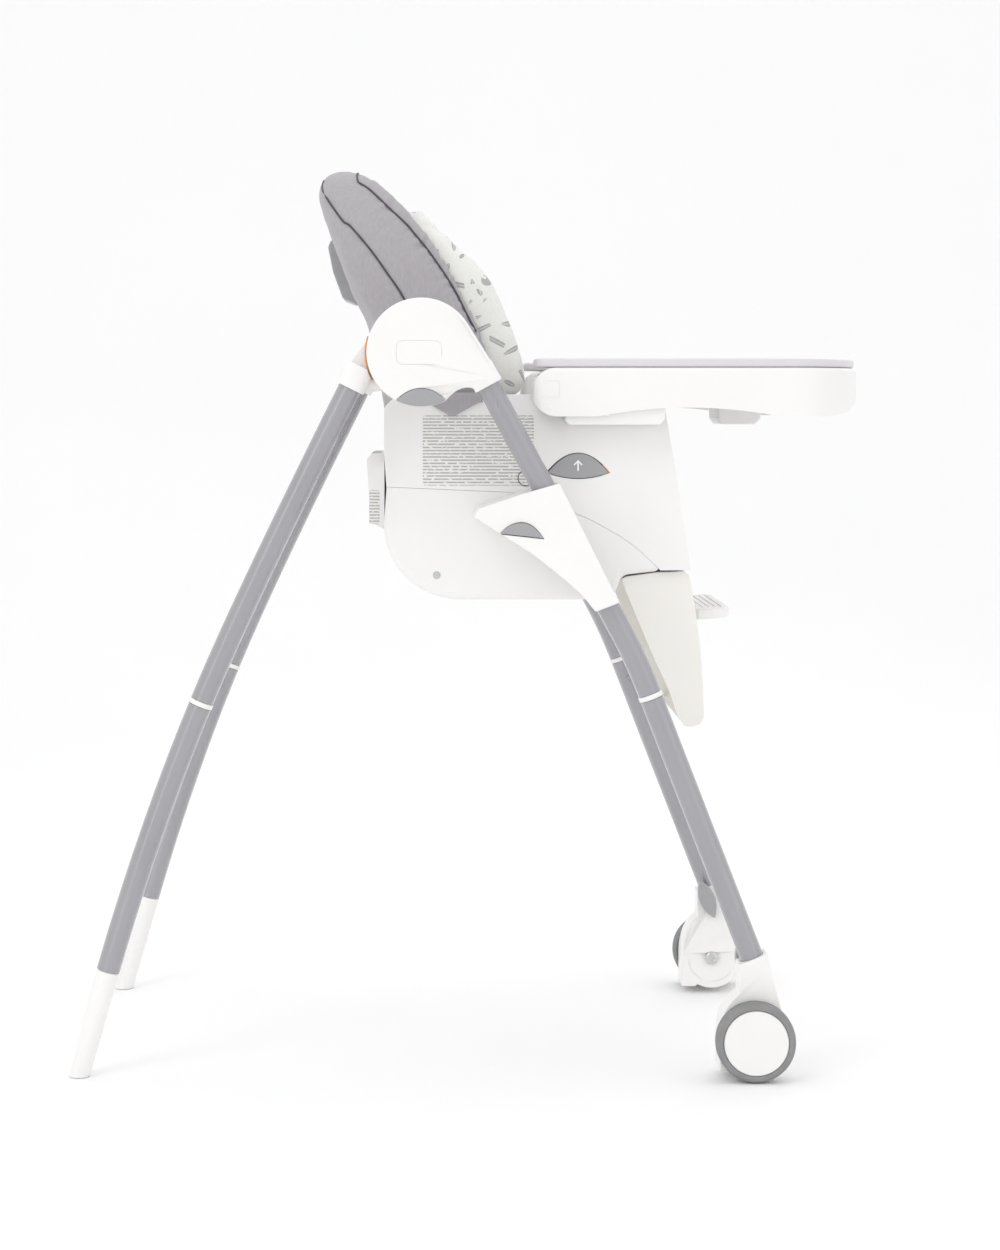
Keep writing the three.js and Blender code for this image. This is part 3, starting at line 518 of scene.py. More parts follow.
def quadratic(start, corner, end, steps=10):
    points = []
    for i in range(steps + 1):
        t = i / steps
        points.append(tuple(a * (1 - t) ** 2 + 2 * b * t * (1 - t) + c * t * t
                            for a, b, c in zip(start, corner, end)))
    return points


def cubic(a, b, c, d, steps=12):
    points = []
    for i in range(steps + 1):
        t = i / steps
        points.append(tuple(p * (1 - t) ** 3 + 3 * q * t * (1 - t) ** 2 + 3 * r * t * t * (1 - t) + s * t ** 3
                            for p, q, r, s in zip(a, b, c, d)))
    return points


def arc(centre, radius, start, end, steps=24):
    points = []
    for i in range(steps + 1):
        angle = start + (end - start) * i / steps
        points.append((centre[0] + radius * math.cos(angle), centre[1] + radius * math.sin(angle)))
    return points


# rounds each corner of an outline by the radius given with it
def filleted(corners, steps=6):
    points = []
    count = len(corners)
    for i, (x, z, radius) in enumerate(corners):
        here = Vector((x, z))
        if radius <= 0:
            points.append((x, z))
            continue
        before = Vector(corners[i - 1][:2]) - here
        after = Vector(corners[(i + 1) % count][:2]) - here
        half = before.angle(after) / 2
        reach = min(radius / math.tan(half), before.length * 0.48, after.length * 0.48)
        start = here + before.normalized() * reach
        end = here + after.normalized() * reach
        points += [tuple(p) for p in quadratic(start, here, end, steps)]
    return points


def smoothed(points, steps=6):
    def pick(i):
        return Vector(points[max(0, min(len(points) - 1, i))])
    result = []
    for i in range(len(points) - 1):
        a, b, c, d = pick(i - 1), pick(i), pick(i + 1), pick(i + 2)
        for k in range(steps):
            t = k / steps
            result.append(tuple(0.5 * (2 * b + (c - a) * t + (2 * a - 5 * b + 4 * c - d) * t * t
                                       + (3 * b - a - 3 * c + d) * t ** 3)))
    result.append(tuple(points[-1]))
    return result


# the faces between a row of rings, each with the same number of points
def tubeFaces(rings, sides):
    return [(i * sides + k, i * sides + (k + 1) % sides, (i + 1) * sides + (k + 1) % sides,
             (i + 1) * sides + k)
            for i in range(rings - 1) for k in range(sides)]


def sweep(points, acrossHalf, foreHalf, y, sides=36, power=2.0, scale=None):
    verts, faces = [], []
    for i, (x, z) in enumerate(points):
        a = Vector(points[max(0, i - 1)])
        b = Vector(points[min(len(points) - 1, i + 1)])
        along = (b - a).normalized()
        normal = Vector((-along.y, along.x))
        grow = scale(i / (len(points) - 1)) if scale else 1
        for k in range(sides):
            angle = 2 * math.pi * k / sides
            c, s = math.cos(angle), math.sin(angle)
            lateral = math.copysign(abs(c) ** (2 / power), c) * acrossHalf * grow
            fore = math.copysign(abs(s) ** (2 / power), s) * foreHalf * grow
            verts.append(at(x + normal.x * fore, y + lateral, z + normal.y * fore))
    faces += tubeFaces(len(points), sides)
    faces.append(tuple(range(sides)))
    faces.append(tuple(range((len(points) - 1) * sides, len(points) * sides)))
    return meshFrom(verts, faces)


# thin round cord through points in space, for piping and stitched edges
def roundLine(points, radius, sides=8):
    verts, faces = [], []
    count = len(points)
    last = None
    for i, point in enumerate(points):
        before = points[max(0, i - 1)]
        after = points[min(count - 1, i + 1)]
        along = (after - before).normalized()
        guide = last if last else (Vector((0, 1, 0)) if abs(along.y) < 0.9 else Vector((1, 0, 0)))
        normal = (guide - along * guide.dot(along)).normalized()
        last = normal
        other = along.cross(normal)
        for k in range(sides):
            angle = 2 * math.pi * k / sides
            verts.append(point + (normal * math.cos(angle) + other * math.sin(angle)) * radius * mm)
    faces += tubeFaces(count, sides)
    faces.append(tuple(range(sides)))
    faces.append(tuple(range((count - 1) * sides, count * sides)))
    return meshFrom(verts, faces)


def sideName(side):
    return "L" if side > 0 else "R"


def sideBody(name, side):
    return name + ("_left" if side > 0 else "_right")


print("legs")
legs = {"plane": 248, "across": 15.0, "fore": 13.0, "frontLean": 28.4, "frontLowLean": 21.2,
        "frontArmEnd": (75, 765), "bendTop": 500, "bendCorner": 462, "frontRing": 421, "frontEnd": 132,
        "rearArmEnd": (-79, 762.5), "rearCorner": (-199, 522), "rearRing": (-244, 413), "rearReach": 150,
        "rearEnd": (-347, 117), "footEnd": (-379, 0), "ringHalf": 3, "socketDepth": 22, "sleeveWall": 3.4,
        "boreGap": 0.4, "bracketGap": 1.6}
hubSpot = (0, 802)


def below(point, lean, distance):
    return (point[0] + math.sin(lean) * distance, point[1] - math.cos(lean) * distance)


def beside(point, lean, distance):
    return (point[0] + math.cos(lean) * distance, point[1] + math.sin(lean) * distance)


def leanBetween(top, bottom):
    return math.atan2(bottom[0] - top[0], top[1] - bottom[1])


frontLean = math.radians(legs["frontLean"])
lowLean = math.radians(legs["frontLowLean"])
armEnd = legs["frontArmEnd"]
frontBend = below(armEnd, frontLean, (armEnd[1] - legs["bendTop"]) / math.cos(frontLean))
frontCorner = below(armEnd, frontLean, (armEnd[1] - legs["bendCorner"]) / math.cos(frontLean))
frontRing = below(frontCorner, lowLean, (legs["bendCorner"] - legs["frontRing"]) / math.cos(lowLean))
frontEnd = below(frontRing, lowLean, (legs["frontRing"] - legs["frontEnd"]) / math.cos(lowLean))
axleSpot = (frontEnd[0] + 1, 44)
rearArm = legs["rearArmEnd"]
rearLean = leanBetween(rearArm, legs["rearCorner"])
rearRingLean = leanBetween(legs["rearCorner"], legs["rearRing"])
rearLowCorner = below(legs["rearRing"], rearRingLean, legs["rearReach"])
footLean = leanBetween(legs["rearEnd"], legs["footEnd"])
gap = legs["ringHalf"] + 0.3


def addTube(name, points, node, body, side):
    mesh = sweep(points, legs["across"], legs["fore"], side * legs["plane"])
    place(name, mesh, tubeGrey, body, node, sharp=50)


def addRing(name, spot, lean, node, body, side):
    profile = ((-3, -0.6), (-2.6, 0.5), (-1.6, 0.95), (1.6, 0.95), (2.6, 0.5), (3, -0.6))
    rings = [below(spot, lean, along) for along, _ in profile]
    grow = [1 + stand / 14 for _, stand in profile]
    mesh = sweep(rings, legs["across"], legs["fore"], side * legs["plane"], 48,
                 scale=lambda t: grow[round(t * (len(grow) - 1))])
    place(name, mesh, shellWhite, body, node, sharp=60)


def addLegs(side):
    mark = sideName(side)
    top = below(armEnd, frontLean, -legs["socketDepth"])
    upper = [top, armEnd] + [below(armEnd, frontLean, d) for d in range(30, 300, 30)]
    upper += quadratic(frontBend, frontCorner, below(frontRing, lowLean, -gap), 10)
    addTube("frontUpperTube" + mark, upper, "front_upper_tube_" + mark, "front_frame", side)
    addRing("frontRing" + mark, frontRing, lowLean, "front_ring_" + mark, "front_frame", side)
    lower = [below(frontRing, lowLean, gap + d) for d in range(0, 300, 30)]
    lower.append(below(frontEnd, lowLean, legs["socketDepth"]))
    addTube("frontLowerTube" + mark, lower, "front_lower_tube_" + mark, "front_frame", side)
    upper = [below(rearArm, rearLean, -legs["socketDepth"])]
    upper += quadratic(rearArm, legs["rearCorner"], below(legs["rearRing"], rearRingLean, -gap), 22)
    addTube("rearUpperTube" + mark, upper, "rear_upper_tube_" + mark, "rear_frame", side)
    addRing("rearRing" + mark, legs["rearRing"], rearRingLean, "rear_ring_" + mark, "rear_frame", side)
    lower = quadratic(below(legs["rearRing"], rearRingLean, gap), rearLowCorner, legs["rearEnd"], 20)
    addTube("rearLowerTube" + mark, lower, "rear_lower_tube_" + mark, "rear_frame", side)
    addFoot(side)
    addSnapButtons(side)


# white rear foot, a little slimmer towards the floor, with a soft rim and a level sole
def addFoot(side):
    stops = [below(legs["rearEnd"], footLean, d) for d in (0.3, 1.2, 3, 30, 60, 90, 110, 116, 128)]
    grow = (0.97, 1.02, 1.05, 1.03, 1.0, 0.96, 0.93, 0.92, 0.90)
    mesh = sweep(stops, 15.2, 12.2, side * legs["plane"], 40,
                 scale=lambda t: grow[round(t * (len(grow) - 1))])
    keep = prism(rect(-500, 0, -200, 300), side * 200, side * 300)
    mesh = bevelled(common(mesh, keep), 2.0, 4, 50)
    place("rearFoot" + sideName(side), mesh, shellWhite, "rear_frame", "rear_foot_" + sideName(side),
          sharp=50)


# small locating buttons of the plug-together tubes, on the inner side next to each ring
def addSnapButtons(side):
    spots = [("front_frame", below(frontRing, lowLean, offset)) for offset in (-26, 26)]
    spots += [("rear_frame", below(legs["rearRing"], rearRingLean, offset)) for offset in (-26, 26)]
    start = legs["plane"] - legs["across"] - 2.4
    profile = [(0, start), (2.2, start + 0.2), (3.2, start + 1.0), (3.6, start + 2.4), (3.6, start + 5),
               (0, start + 5)]
    for index, (body, spot) in enumerate(spots):
        name = "snapButton{}{}".format(sideName(side), index)
        place(name, lathe(profile, *spot, side, 24), buttonGrey, body)


for side in (1, -1):
    addLegs(side)


print("knuckles")
knuckle = {"radius": 60, "inner": 226, "middle": 250, "outer": 283, "socketHalf": 16.5, "edge": 6,
           "buttonHalf": 27, "buttonTop": 762, "notch": 63}


def touchAngle(point, radius, turn):
    distance = math.hypot(point[0], point[1] - hubSpot[1])
    return math.atan2(point[1] - hubSpot[1], point[0]) + turn * math.acos(radius / distance)


def knuckleOutline(radius, outer, inner, turn, notch):
    start = touchAngle(outer, radius, turn)
    end = -notch if turn > 0 else math.pi + notch
    sweepEnd = end + 2 * math.pi if turn > 0 else end - 2 * math.pi
    points = arc(hubSpot, radius, start, sweepEnd, 80)
    edge = points[-1]
    rise = (inner[0] - edge[0]) * 0.45
    points += quadratic(edge, (edge[0] + rise, inner[1] + 10), (inner[0] - turn * 2, inner[1] + 5), 8)[1:]
    return points + [inner, outer]


def sleeveAround(top, lean, depth, side):
    stops = [below(top, lean, -depth + d * depth / 6) for d in range(7)]
    wall = legs["sleeveWall"]
    return sweep(stops, legs["across"] + wall, legs["fore"] + wall, side * legs["plane"], 48, 2.6)


# what a leg tube takes out of the piece it goes into, from near to far along it
def tubeBore(spot, lean, near, far, side, gap):
    stops = [below(spot, lean, d) for d in (near, far)]
    return sweep(stops, legs["across"] + gap, legs["fore"] + gap, side * legs["plane"], 48)


def lensOutline(grow=0.0):
    rim = knuckle["radius"] - 0.6
    half = knuckle["buttonHalf"] + grow
    corner = hubSpot[1] - math.sqrt(rim ** 2 - knuckle["buttonHalf"] ** 2) + grow
    crown = 2 * (knuckle["buttonTop"] + grow) - corner
    upper = quadratic((half, corner), (0, crown), (-half, corner), 24)
    if grow:
        return upper + [(-half, hubSpot[1] - 66), (half, hubSpot[1] - 66)]
    angle = math.acos(knuckle["buttonHalf"] / rim)
    return upper + arc(hubSpot, rim, math.pi + angle, 2 * math.pi - angle, 24)[1:-1]


def addFrontKnuckle(side):
    half = knuckle["socketHalf"]
    outer, inner = beside(armEnd, frontLean, half), beside(armEnd, frontLean, -half)
    outline = knuckleOutline(knuckle["radius"], outer, inner, 1, math.radians(knuckle["notch"]))
    body = bevelled(prism(outline, side * knuckle["middle"], side * knuckle["outer"]), knuckle["edge"], 6, 40)

    # the arm's face falls away from the disc towards the tube
    def slope(point):
        x, z = (point.x - hubX) / mm, point.z / mm
        along = (x * math.sin(frontLean) - (z - hubSpot[1]) * math.cos(frontLean))
        share = min(1, max(0, (along - 22) / 50)) if x > 25 else 0
        share = share * share * (3 - 2 * share)
        y = abs(point.y) / mm
        if y > knuckle["middle"]:
            y = knuckle["middle"] + (y - knuckle["middle"]) * (1 - 0.42 * share)
        return Vector((point.x, side * y * mm, point.z))
    body = moved(body, slope)
    sleeve = sleeveAround(armEnd, frontLean, 24, side)
    clear = lathe(rect(0, 200, 62, knuckle["middle"] + 1), *hubSpot, side)
    body = joined(body, cutFrom(sleeve, clear))
    bore = tubeBore(armEnd, frontLean, -22.4, 10, side, legs["boreGap"])
    pocket = prism(lensOutline(0.7), side * (knuckle["outer"] - 20), side * (knuckle["outer"] + 5))
    plateLine = filleted([(-27.5, 788, 9), (23, 788, 9), (23, 815, 9), (-27.5, 815, 9)])
    groove = frameBand(plateLine, 0.9, side * (knuckle["outer"] - 0.7), side * (knuckle["outer"] + 1))
    pinSpace = lathe(rect(0, 249, 13.5, 271), *hubSpot, side)
    body = cutFrom(body, bore, pocket, pinSpace, groove)
    mark = sideName(side)
    place("frontKnuckle" + mark, body, shellWhite, "front_frame", "front_knuckle_" + mark)
    # a band of orange-tinted painted shade in the gap where the rear arm meets the disc
    band = rect(60.4, 250.4, 62.2, 254)
    gapShadeArc = prismArc(band, math.radians(163), math.radians(210), side)
    place("orangeGapShadeBand" + mark, gapShadeArc, orangeGapShade, "front_frame")
    button = bevelled(prism(lensOutline(), side * (knuckle["outer"] - 14), side * (knuckle["outer"] + 1)),
                      1.6, 4, 50)
    place("foldButton" + mark, button, buttonGrey, sideBody("fold_button", side), "fold_button_" + mark)


# a flat closed band that follows an outline
def frameBand(outline, width, low, high):
    centre = Vector((sum(p[0] for p in outline), sum(p[1] for p in outline))) / len(outline)
    inner = []
    for point in outline:
        arm = Vector(point) - centre
        inner.append(tuple(centre + arm * (1 - width / arm.length)))
    count = len(outline)
    verts = []
    for ring in (outline, inner):
        for y in (low, high):
            verts += [at(x, y, z) for x, z in ring]
    faces = []
    for i in range(count):
        n = (i + 1) % count
        faces.append((i, n, count + n, count + i))
        faces.append((2 * count + i, 3 * count + i, 3 * count + n, 2 * count + n))
        faces.append((i, 2 * count + i, 2 * count + n, n))
        faces.append((count + i, count + n, 3 * count + n, 3 * count + i))
    return meshFrom(verts, faces)


# part of a ring about the fold axis
def prismArc(section, start, end, side, steps=40):
    verts, faces = [], []
    count = len(section)
    for i in range(steps + 1):
        angle = start + (end - start) * i / steps
        for radius, y in section:
            verts.append(at(radius * math.cos(angle), side * y, hubSpot[1] + radius * math.sin(angle)))
    faces += tubeFaces(steps + 1, count)
    faces += [tuple(range(count)), tuple(range(steps * count, (steps + 1) * count))]
    return meshFrom(verts, faces)


def addRearKnuckle(side):
    half = knuckle["socketHalf"]
    outer, inner = beside(rearArm, rearLean, -half), beside(rearArm, rearLean, half)
    outline = knuckleOutline(knuckle["radius"] - 4, outer, inner, -1, math.radians(60))
    body = bevelled(prism(outline, side * knuckle["inner"], side * (knuckle["middle"] - 0.4)), 3.5, 4, 40)
    sleeve = sleeveAround(rearArm, rearLean, 27, side)
    clear = lathe(rect(0, knuckle["middle"] - 1, 62.5, 300), *hubSpot, side)
    body = joined(body, cutFrom(sleeve, clear))
    pin = lathe(rect(0, 245, 13, 270), *hubSpot, side)
    bore = tubeBore(rearArm, rearLean, -22.4, 10, side, legs["boreGap"])
    body = joined(cutFrom(body, bore), pin)
    mark = sideName(side)
    place("rearKnuckle" + mark, body, shellWhite, "rear_frame", "rear_knuckle_" + mark)


for side in (1, -1):
    addFrontKnuckle(side)
    addRearKnuckle(side)


print("wheels")
wheel = {"outer": 290, "width": 24, "housingIn": 214, "housingOut": 263, "housingRadius": 38}


def addWheel(side):
    mark = sideName(side)
    body = sideBody("wheel", side)
    out, inn = wheel["outer"], wheel["outer"] - wheel["width"]
    profile = [(5.8, inn), (26, inn), (28, inn + 1), (38, inn + 1), (40, inn)]
    profile += [(41.6, inn + 0.4), (43, inn + 2), (43.8, inn + 4.4), (44, inn + 7)]
    for groove in (9.5, 13.5):
        profile += [(44, inn + groove - 0.8), (43.3, inn + groove - 0.4), (43.3, inn + groove + 0.4),
                    (44, inn + groove + 0.8)]
    profile += [(44, out - 8), (43.7, out - 5), (42.8, out - 2.6), (41.2, out - 0.8), (39.2, out - 0.1),
                (37.2, out - 0.3),
                (36.3, out - 1), (35.9, out - 2), (35.9, out - 4), (5.8, out - 4), (5.8, inn)]
    place("tyre" + mark, lathe(profile, *axleSpot, side, 96), wheelGrey, body, "tyre_" + mark)
    cap = [(0, out - 3.7), (35.5, out - 3.7), (35.5, out - 1.4), (35.1, out - 0.8), (34.4, out - 0.4),
           (33, out - 0.5),
           (32.2, out - 0.9), (12, out - 1.2), (0, out - 1.25)]
    place("wheelCap" + mark, lathe(cap, *axleSpot, side, 96), shellWhite, body, "wheel_cap_" + mark)


def addHousing(side):
    mark = sideName(side)
    x, z = axleSpot
    half = legs["fore"] + 4.2
    rear, front = beside(frontEnd, lowLean, -half), beside(frontEnd, lowLean, half)
    outline = [rear, (x - 17, z + 50)] + quadratic((x - 17, z + 50), (x - 38, z + 34), (x - 38, z), 12)[1:]
    outline += [(x - 38, 8), (x - 20, 8)]
    outline += arc(axleSpot, wheel["housingRadius"], -math.pi * 0.66, math.pi * 0.1, 30)
    outline += quadratic(outline[-1], (x + 24, z + 52), front, 12)[1:]
    body = prism(outline, side * wheel["housingIn"], side * wheel["housingOut"])
    body = bevelled(body, 6, 5, 40)

    # thick round the axle, no wider than the socket at the neck
    def waist(point):
        high = min(1, max(0, (point.z / mm - 62) / 34))
        high = high * high * (3 - 2 * high)
        y = abs(point.y) / mm
        target = legs["plane"] + (y - (wheel["housingIn"] + wheel["housingOut"]) / 2) * (19.2 / 24.5)
        return Vector((point.x, side * (y + (target - y) * high) * mm, point.z))
    body = moved(body, waist)
    bore = tubeBore(frontEnd, lowLean, -20, 22.3, side, legs["boreGap"])
    hole = lathe(rect(0, 200, 5.3, 280), *axleSpot, side, 40)
    face = wheel["housingIn"]
    dish = lathe(rect(0, 205, 15, face + 1.2), *axleSpot, side, 60)
    step = lathe([(29, 205), (30, 205), (30, face + 0.8), (29, face + 0.8), (29, 205)], *axleSpot, side, 60)
    body = cutFrom(body, bore, hole, dish, step)
    place("wheelHousing" + mark, body, shellWhite, "front_frame", "wheel_housing_" + mark)
    pin = [(0, face - 3), (5.5, face - 3), (7.2, face - 2.4), (8, face - 1.4), (8, face - 0.3),
           (5, face - 0.3),
           (5, 285), (0, 285)]
    cross = [prism(rect(x - w, z - h, x + w, z + h), side * (face - 4), side * (face - 1.6))
             for w, h in ((4, 0.8), (0.8, 4))]
    place("axlePin" + mark, cutFrom(lathe(pin, *axleSpot, side, 48), *cross), pinSteel, "front_frame",
          "axle_pin_" + mark)
    top = beside(below(frontEnd, lowLean, -14), lowLean, -9)
    foot = below(top, lowLean, 52)
    middle = below(top, lowLean, 26)
    lens = quadratic(top, beside(middle, lowLean, -20), foot, 18) + quadratic(foot,
                                                                              beside(middle, lowLean, 20),
                                                                              top, 18)[1:-1]
    pedal = bevelled(prism(lens, side * 214.5, side * 227.5), 3, 4, 50)
    place("brakePedal" + mark, pedal, buttonGrey, sideBody("brake", side), "brake_pedal_" + mark)


for side in (1, -1):
    addWheel(side)
    addHousing(side)


# the seat base and what is fixed to it
print("carriage")
splitLine = [(-38, 651), (103, 645), (178, 620), (217, 600), (243, 583), (272, 556)]
seatSize = {"half": 176, "wall": 8, "baseWall": 6, "edge": 9, "back": -42, "sill": 676, "tubHalf": 168,
            "panHalf": 160, "reclineHalf": 162}
crossTube = {"spot": (150, 590), "half": 204, "radius": 11, "hole": 11.3}


def splitCurve(drop=0.0):
    curve = smoothed(splitLine[1:], 8)
    return [(splitLine[0][0], splitLine[0][1] - drop)] + [(x, z - drop) for x, z in curve]


def addBase():
    top = splitCurve(0.35)
    lower = [(228, 550.6), (222, 534)] + quadratic((222, 534), (216, 523), (200, 523), 6)[1:]
    lower += [(42, 523)] + cubic((42, 523), (0, 524), (-42, 556), (-42, 610), 20)[1:]
    half = seatSize["half"]
    cutter = prism(splitCurve(0.35) + [(400, 500), (400, 900), (-200, 900), (-200, 650.65)], -400, 400)
    raised = prism([(x, z + 14) for x, z in top] + top[-1:] + lower, -half, half)
    outer = cutFrom(bevelled(raised, seatSize["edge"], 6, 50), cutter)
    inner = [(-32, 700), (104, 700), (160, 700), (214, 594), (238, 579), (258, 560), (224, 557), (217, 540),
             (200, 529),
             (37, 529), (13, 539), (-12, 556), (-26, 575), (-36, 603), (-36, 645)]
    hollow = prism(inner, -half + seatSize["baseWall"], half - seatSize["baseWall"])
    holes = [lathe(rect(0, 0, crossTube["hole"], 400), *crossTube["spot"], side, 36) for side in (1, -1)]
    screws = [lathe(rect(0, half - 1.5, 4.2, half + 3), 18, 551, side, 24) for side in (1, -1)]
    mesh = cutFrom(outer, hollow, *holes, *screws)
    place("seatBase", mesh, shellWhite, "carriage", "base_shell")
    for side in (1, -1):
        head = bevelled(prism(arc((18, 551), 3.8, 0, 2 * math.pi * 23 / 24, 23), side * (half - 1.4),
                              side * (half - 0.2)), 0.3, 2, 50)
        slot = prism(rect(14.5, 550.4, 21.5, 551.6), side * (half - 1), side * (half + 1))
        place("baseScrew" + sideName(side), cutFrom(head, slot), pinSteel, "carriage")


addBase()

bracketSize = {"inner": 176.3, "outer": 274, "lever": (111, 602)}
bracketOutline = [(58, 620, 3), (64.5, 629.5, 4), (112, 646, 30), (153, 657.5, 3), (218.5, 526, 2.5),
                  (192.5, 516, 2.5),
                  (178, 534, 20), (147, 561, 30), (122, 580, 20), (94.5, 597.6, 20)]


def leverOutline(grow=0.0):
    x, z = bracketSize["lever"]
    half = 24 + grow
    start, end, crown = (x - half, z - grow), (x + half, z - 5 - grow), (x, 614 + grow)
    return [start, end] + quadratic(end, (x + half * 0.55, crown[1]), crown, 10)[1:] \
        + quadratic(crown, (x - half * 0.55, crown[1]), start, 10)[1:-1]


def bracketFace(x):
    share = min(1, max(0, (118 - x) / 62))
    return 13 * share * share * (3 - 2 * share)


def addBracket(side):
    mark = sideName(side)
    body = bevelled(prism(filleted(bracketOutline), side * bracketSize["inner"], side * bracketSize["outer"]),
                    5, 5, 40)

    # the wing's face sinks back towards its tip
    def sink(point):
        x, y = (point.x - hubX) / mm, abs(point.y) / mm
        if y > 200:
            y -= bracketFace(x) * (y - 200) / 74
        return Vector((point.x, side * y * mm, point.z))
    body = moved(body, sink)
    channel = tubeBore(armEnd, frontLean, 40, 400, side, legs["bracketGap"])
    pocket = prism(leverOutline(0.8), side * (bracketSize["outer"] - 36), side * (bracketSize["outer"] + 5))
    hole = lathe(rect(0, 170, crossTube["hole"], 206), *crossTube["spot"], side, 36)
    body = cutFrom(body, channel, pocket, hole)
    place("heightBracket" + mark, body, shellWhite, "carriage", "height_bracket_" + mark)
    lever = bevelled(prism(leverOutline(), side * (bracketSize["outer"] - 12),
                           side * (bracketSize["outer"] + 1.5)), 1.6, 4, 50)
    lever = moved(lever, lambda p: Vector((p.x, p.y - side * 0.9 * bracketFace((p.x - hubX) / mm) * mm, p.z)))
    place("heightLever" + mark, lever, buttonGrey, sideBody("height_lever", side), "height_lever_" + mark)


for side in (1, -1):
    addBracket(side)
tubeEnd, tubeSide, tubeChamfer = crossTube["half"], crossTube["radius"], 1.4
carriageTube = lathe([(0, -tubeEnd), (tubeSide - tubeChamfer, -tubeEnd), (tubeSide, tubeChamfer - tubeEnd),
                      (tubeSide, tubeEnd - tubeChamfer), (tubeSide - tubeChamfer, tubeEnd), (0, tubeEnd)],
                     *crossTube["spot"], 1, 40)
place("carriageTube", carriageTube, pinSteel, "carriage", "carriage_tube")


def addRearPocket():
    outline = filleted([(-42.3, 600, 0.5), (-42.3, 688, 1), (-57, 688, 5), (-63, 682, 7), (-59.5, 622, 20),
                        (-53, 605, 8)])
    outer = bevelled(prism(outline, -105, 105), 5, 4, 50)
    space = bevelled(prism([(-59, 626), (-59, 720), (-46.2, 720), (-46.2, 622)], -100, 100), 2, 3, 50)
    mesh = cutFrom(outer, space)
    place("rearPocket", mesh, shellWhite, "carriage", "rear_pocket")


addRearPocket()


print("seat")


def seatButtonOutline(grow=0.0):
    x, z = 178, 667
    half = 34.5 + grow * 1.6
    low = quadratic((x - half, z), (x, z - 12.5 - grow * 1.4), (x + half, z), 16)
    high = quadratic((x + half, z), (x, z + 44 + grow * 1.4), (x - half, z), 24)
    return low + high[1:-1]


def seatOutline():
    back = seatSize["back"]
    front = filleted([(back, 690, 0), (back, 741, 12), (-27, 756, 12), (262, 756, 14), (277, 738, 14),
                      (289, 668, 60),
                      (306, 556.4, 1.5), (272, 556.2, 0)], 8)
    return front + splitCurve()[::-1][1:]


def addSeatShell():
    half, well = seatSize["half"], seatSize["half"] - seatSize["wall"]
    lowCut = prism(splitCurve(0)[::-1] + [(-200, 651), (-200, 400), (400, 400), (400, 556.2)], -400, 400)
    tall = [(x, z - 16) if z < 655 and x < 271 else (x, z) for x, z in seatOutline()]
    walls = cutFrom(bevelled(prism(tall, -half, half), seatSize["edge"], 6, 50), lowCut)
    tub = bevelled(prism(rect(-34, 632, 170, 670), -seatSize["tubHalf"], seatSize["tubHalf"]), 3, 3, 50)
    space = bevelled(prism([(-34, 656), (-34, 900), (500, 900), (500, 656)], -well, well), 3, 4, 50)
    pan = bevelled(prism([(-26, 640), (-26, 800), (500, 800), (500, 640)], -seatSize["panHalf"],
                         seatSize["panHalf"]), 5, 4, 50)
    apron = prism([(196, 632), (279, 632), (293, 548), (262, 548), (196, 598)], -well, well)
    recline = bevelled(prism(rect(-60, seatSize["sill"], -2, 900), -seatSize["reclineHalf"],
                             seatSize["reclineHalf"]), 6, 4, 50)
    holes = prism(seatButtonOutline(1.25), -half - 5, half + 5)
    mesh = cutFrom(joined(walls, tub), space, pan, apron, recline, holes)
    place("seatShell", mesh, shellWhite, "seat", "seat_shell")
    for side in (1, -1):
        mark = sideName(side)
        button = bevelled(prism(seatButtonOutline(), side * (half - 11), side * (half + 1.5)), 1.2, 4, 50)
        body = sideBody("seat_button", side)
        place("seatButton" + mark, button, buttonGrey, body, "seat_button_" + mark)
        # painted shade lining the gap round the button: dark along the top, orange-tinted at the front
        for name, tone, near, far in (("seatButtonShadeRim", shadowGap, 100, 206),
                                      ("seatButtonShadeTip", orangeGapShade, 206.3, 240)):
            shadeLining = cutFrom(prism(seatButtonOutline(1.2), side * (half - 9), side * (half - 0.4)),
                             prism(seatButtonOutline(0.3), side * (half - 12), side * (half + 4)))
            shadeLining = common(shadeLining, prism(rect(near, 600, far, 760), -400, 400))
            place(name + mark, shadeLining, tone, "seat")
        arrow = [(-1, -7), (1, -7), (1, 2.4), (4.1, -0.8), (5.4, 0.5), (0, 6), (-5.4, 0.5), (-4.1, -0.8),
                 (-1, 2.4)]
        arrowMesh = bevelled(prism([(178 + 0.95 * x, 676 + 0.95 * z) for x, z in arrow], side * (half + 1.2),
                                   side * (half + 1.85)), 0.12, 2, 50)
        place("seatArrow" + mark, arrowMesh, markWhite, body)


addSeatShell()


# plain stickers: a large one on the shell's side and a narrow one on the rear holder
def addLabels():
    half = seatSize["half"]
    big = filleted([(2, 652.5, 3), (128, 652.5, 3), (128, 732, 3), (2, 732, 3)], 4)
    ring = frameBand(arc((119, 661), 9.4, 0, 2 * math.pi * 39 / 40, 39), 0.9, -half - 0.55, -half - 0.25)
    place("sideLabel", prism(big, -half + 0.2, -half - 0.18), printedLabel, "seat")
    place("sideLabelRing", ring, shadowGap, "seat")
    small = rect(-60, 606, -48, 645)
    place("pocketLabel", prism(filleted([(x, z, 1.5) for x, z in small], 3), -105.2, -104.8), printedLabel,
          "carriage")


addLabels()


print("tray")
traySize = {"half": 222, "front": 513, "rear": 124.6, "low": 731, "high": 786, "wall": 7, "belly": 152,
            "bellyFront": 236}


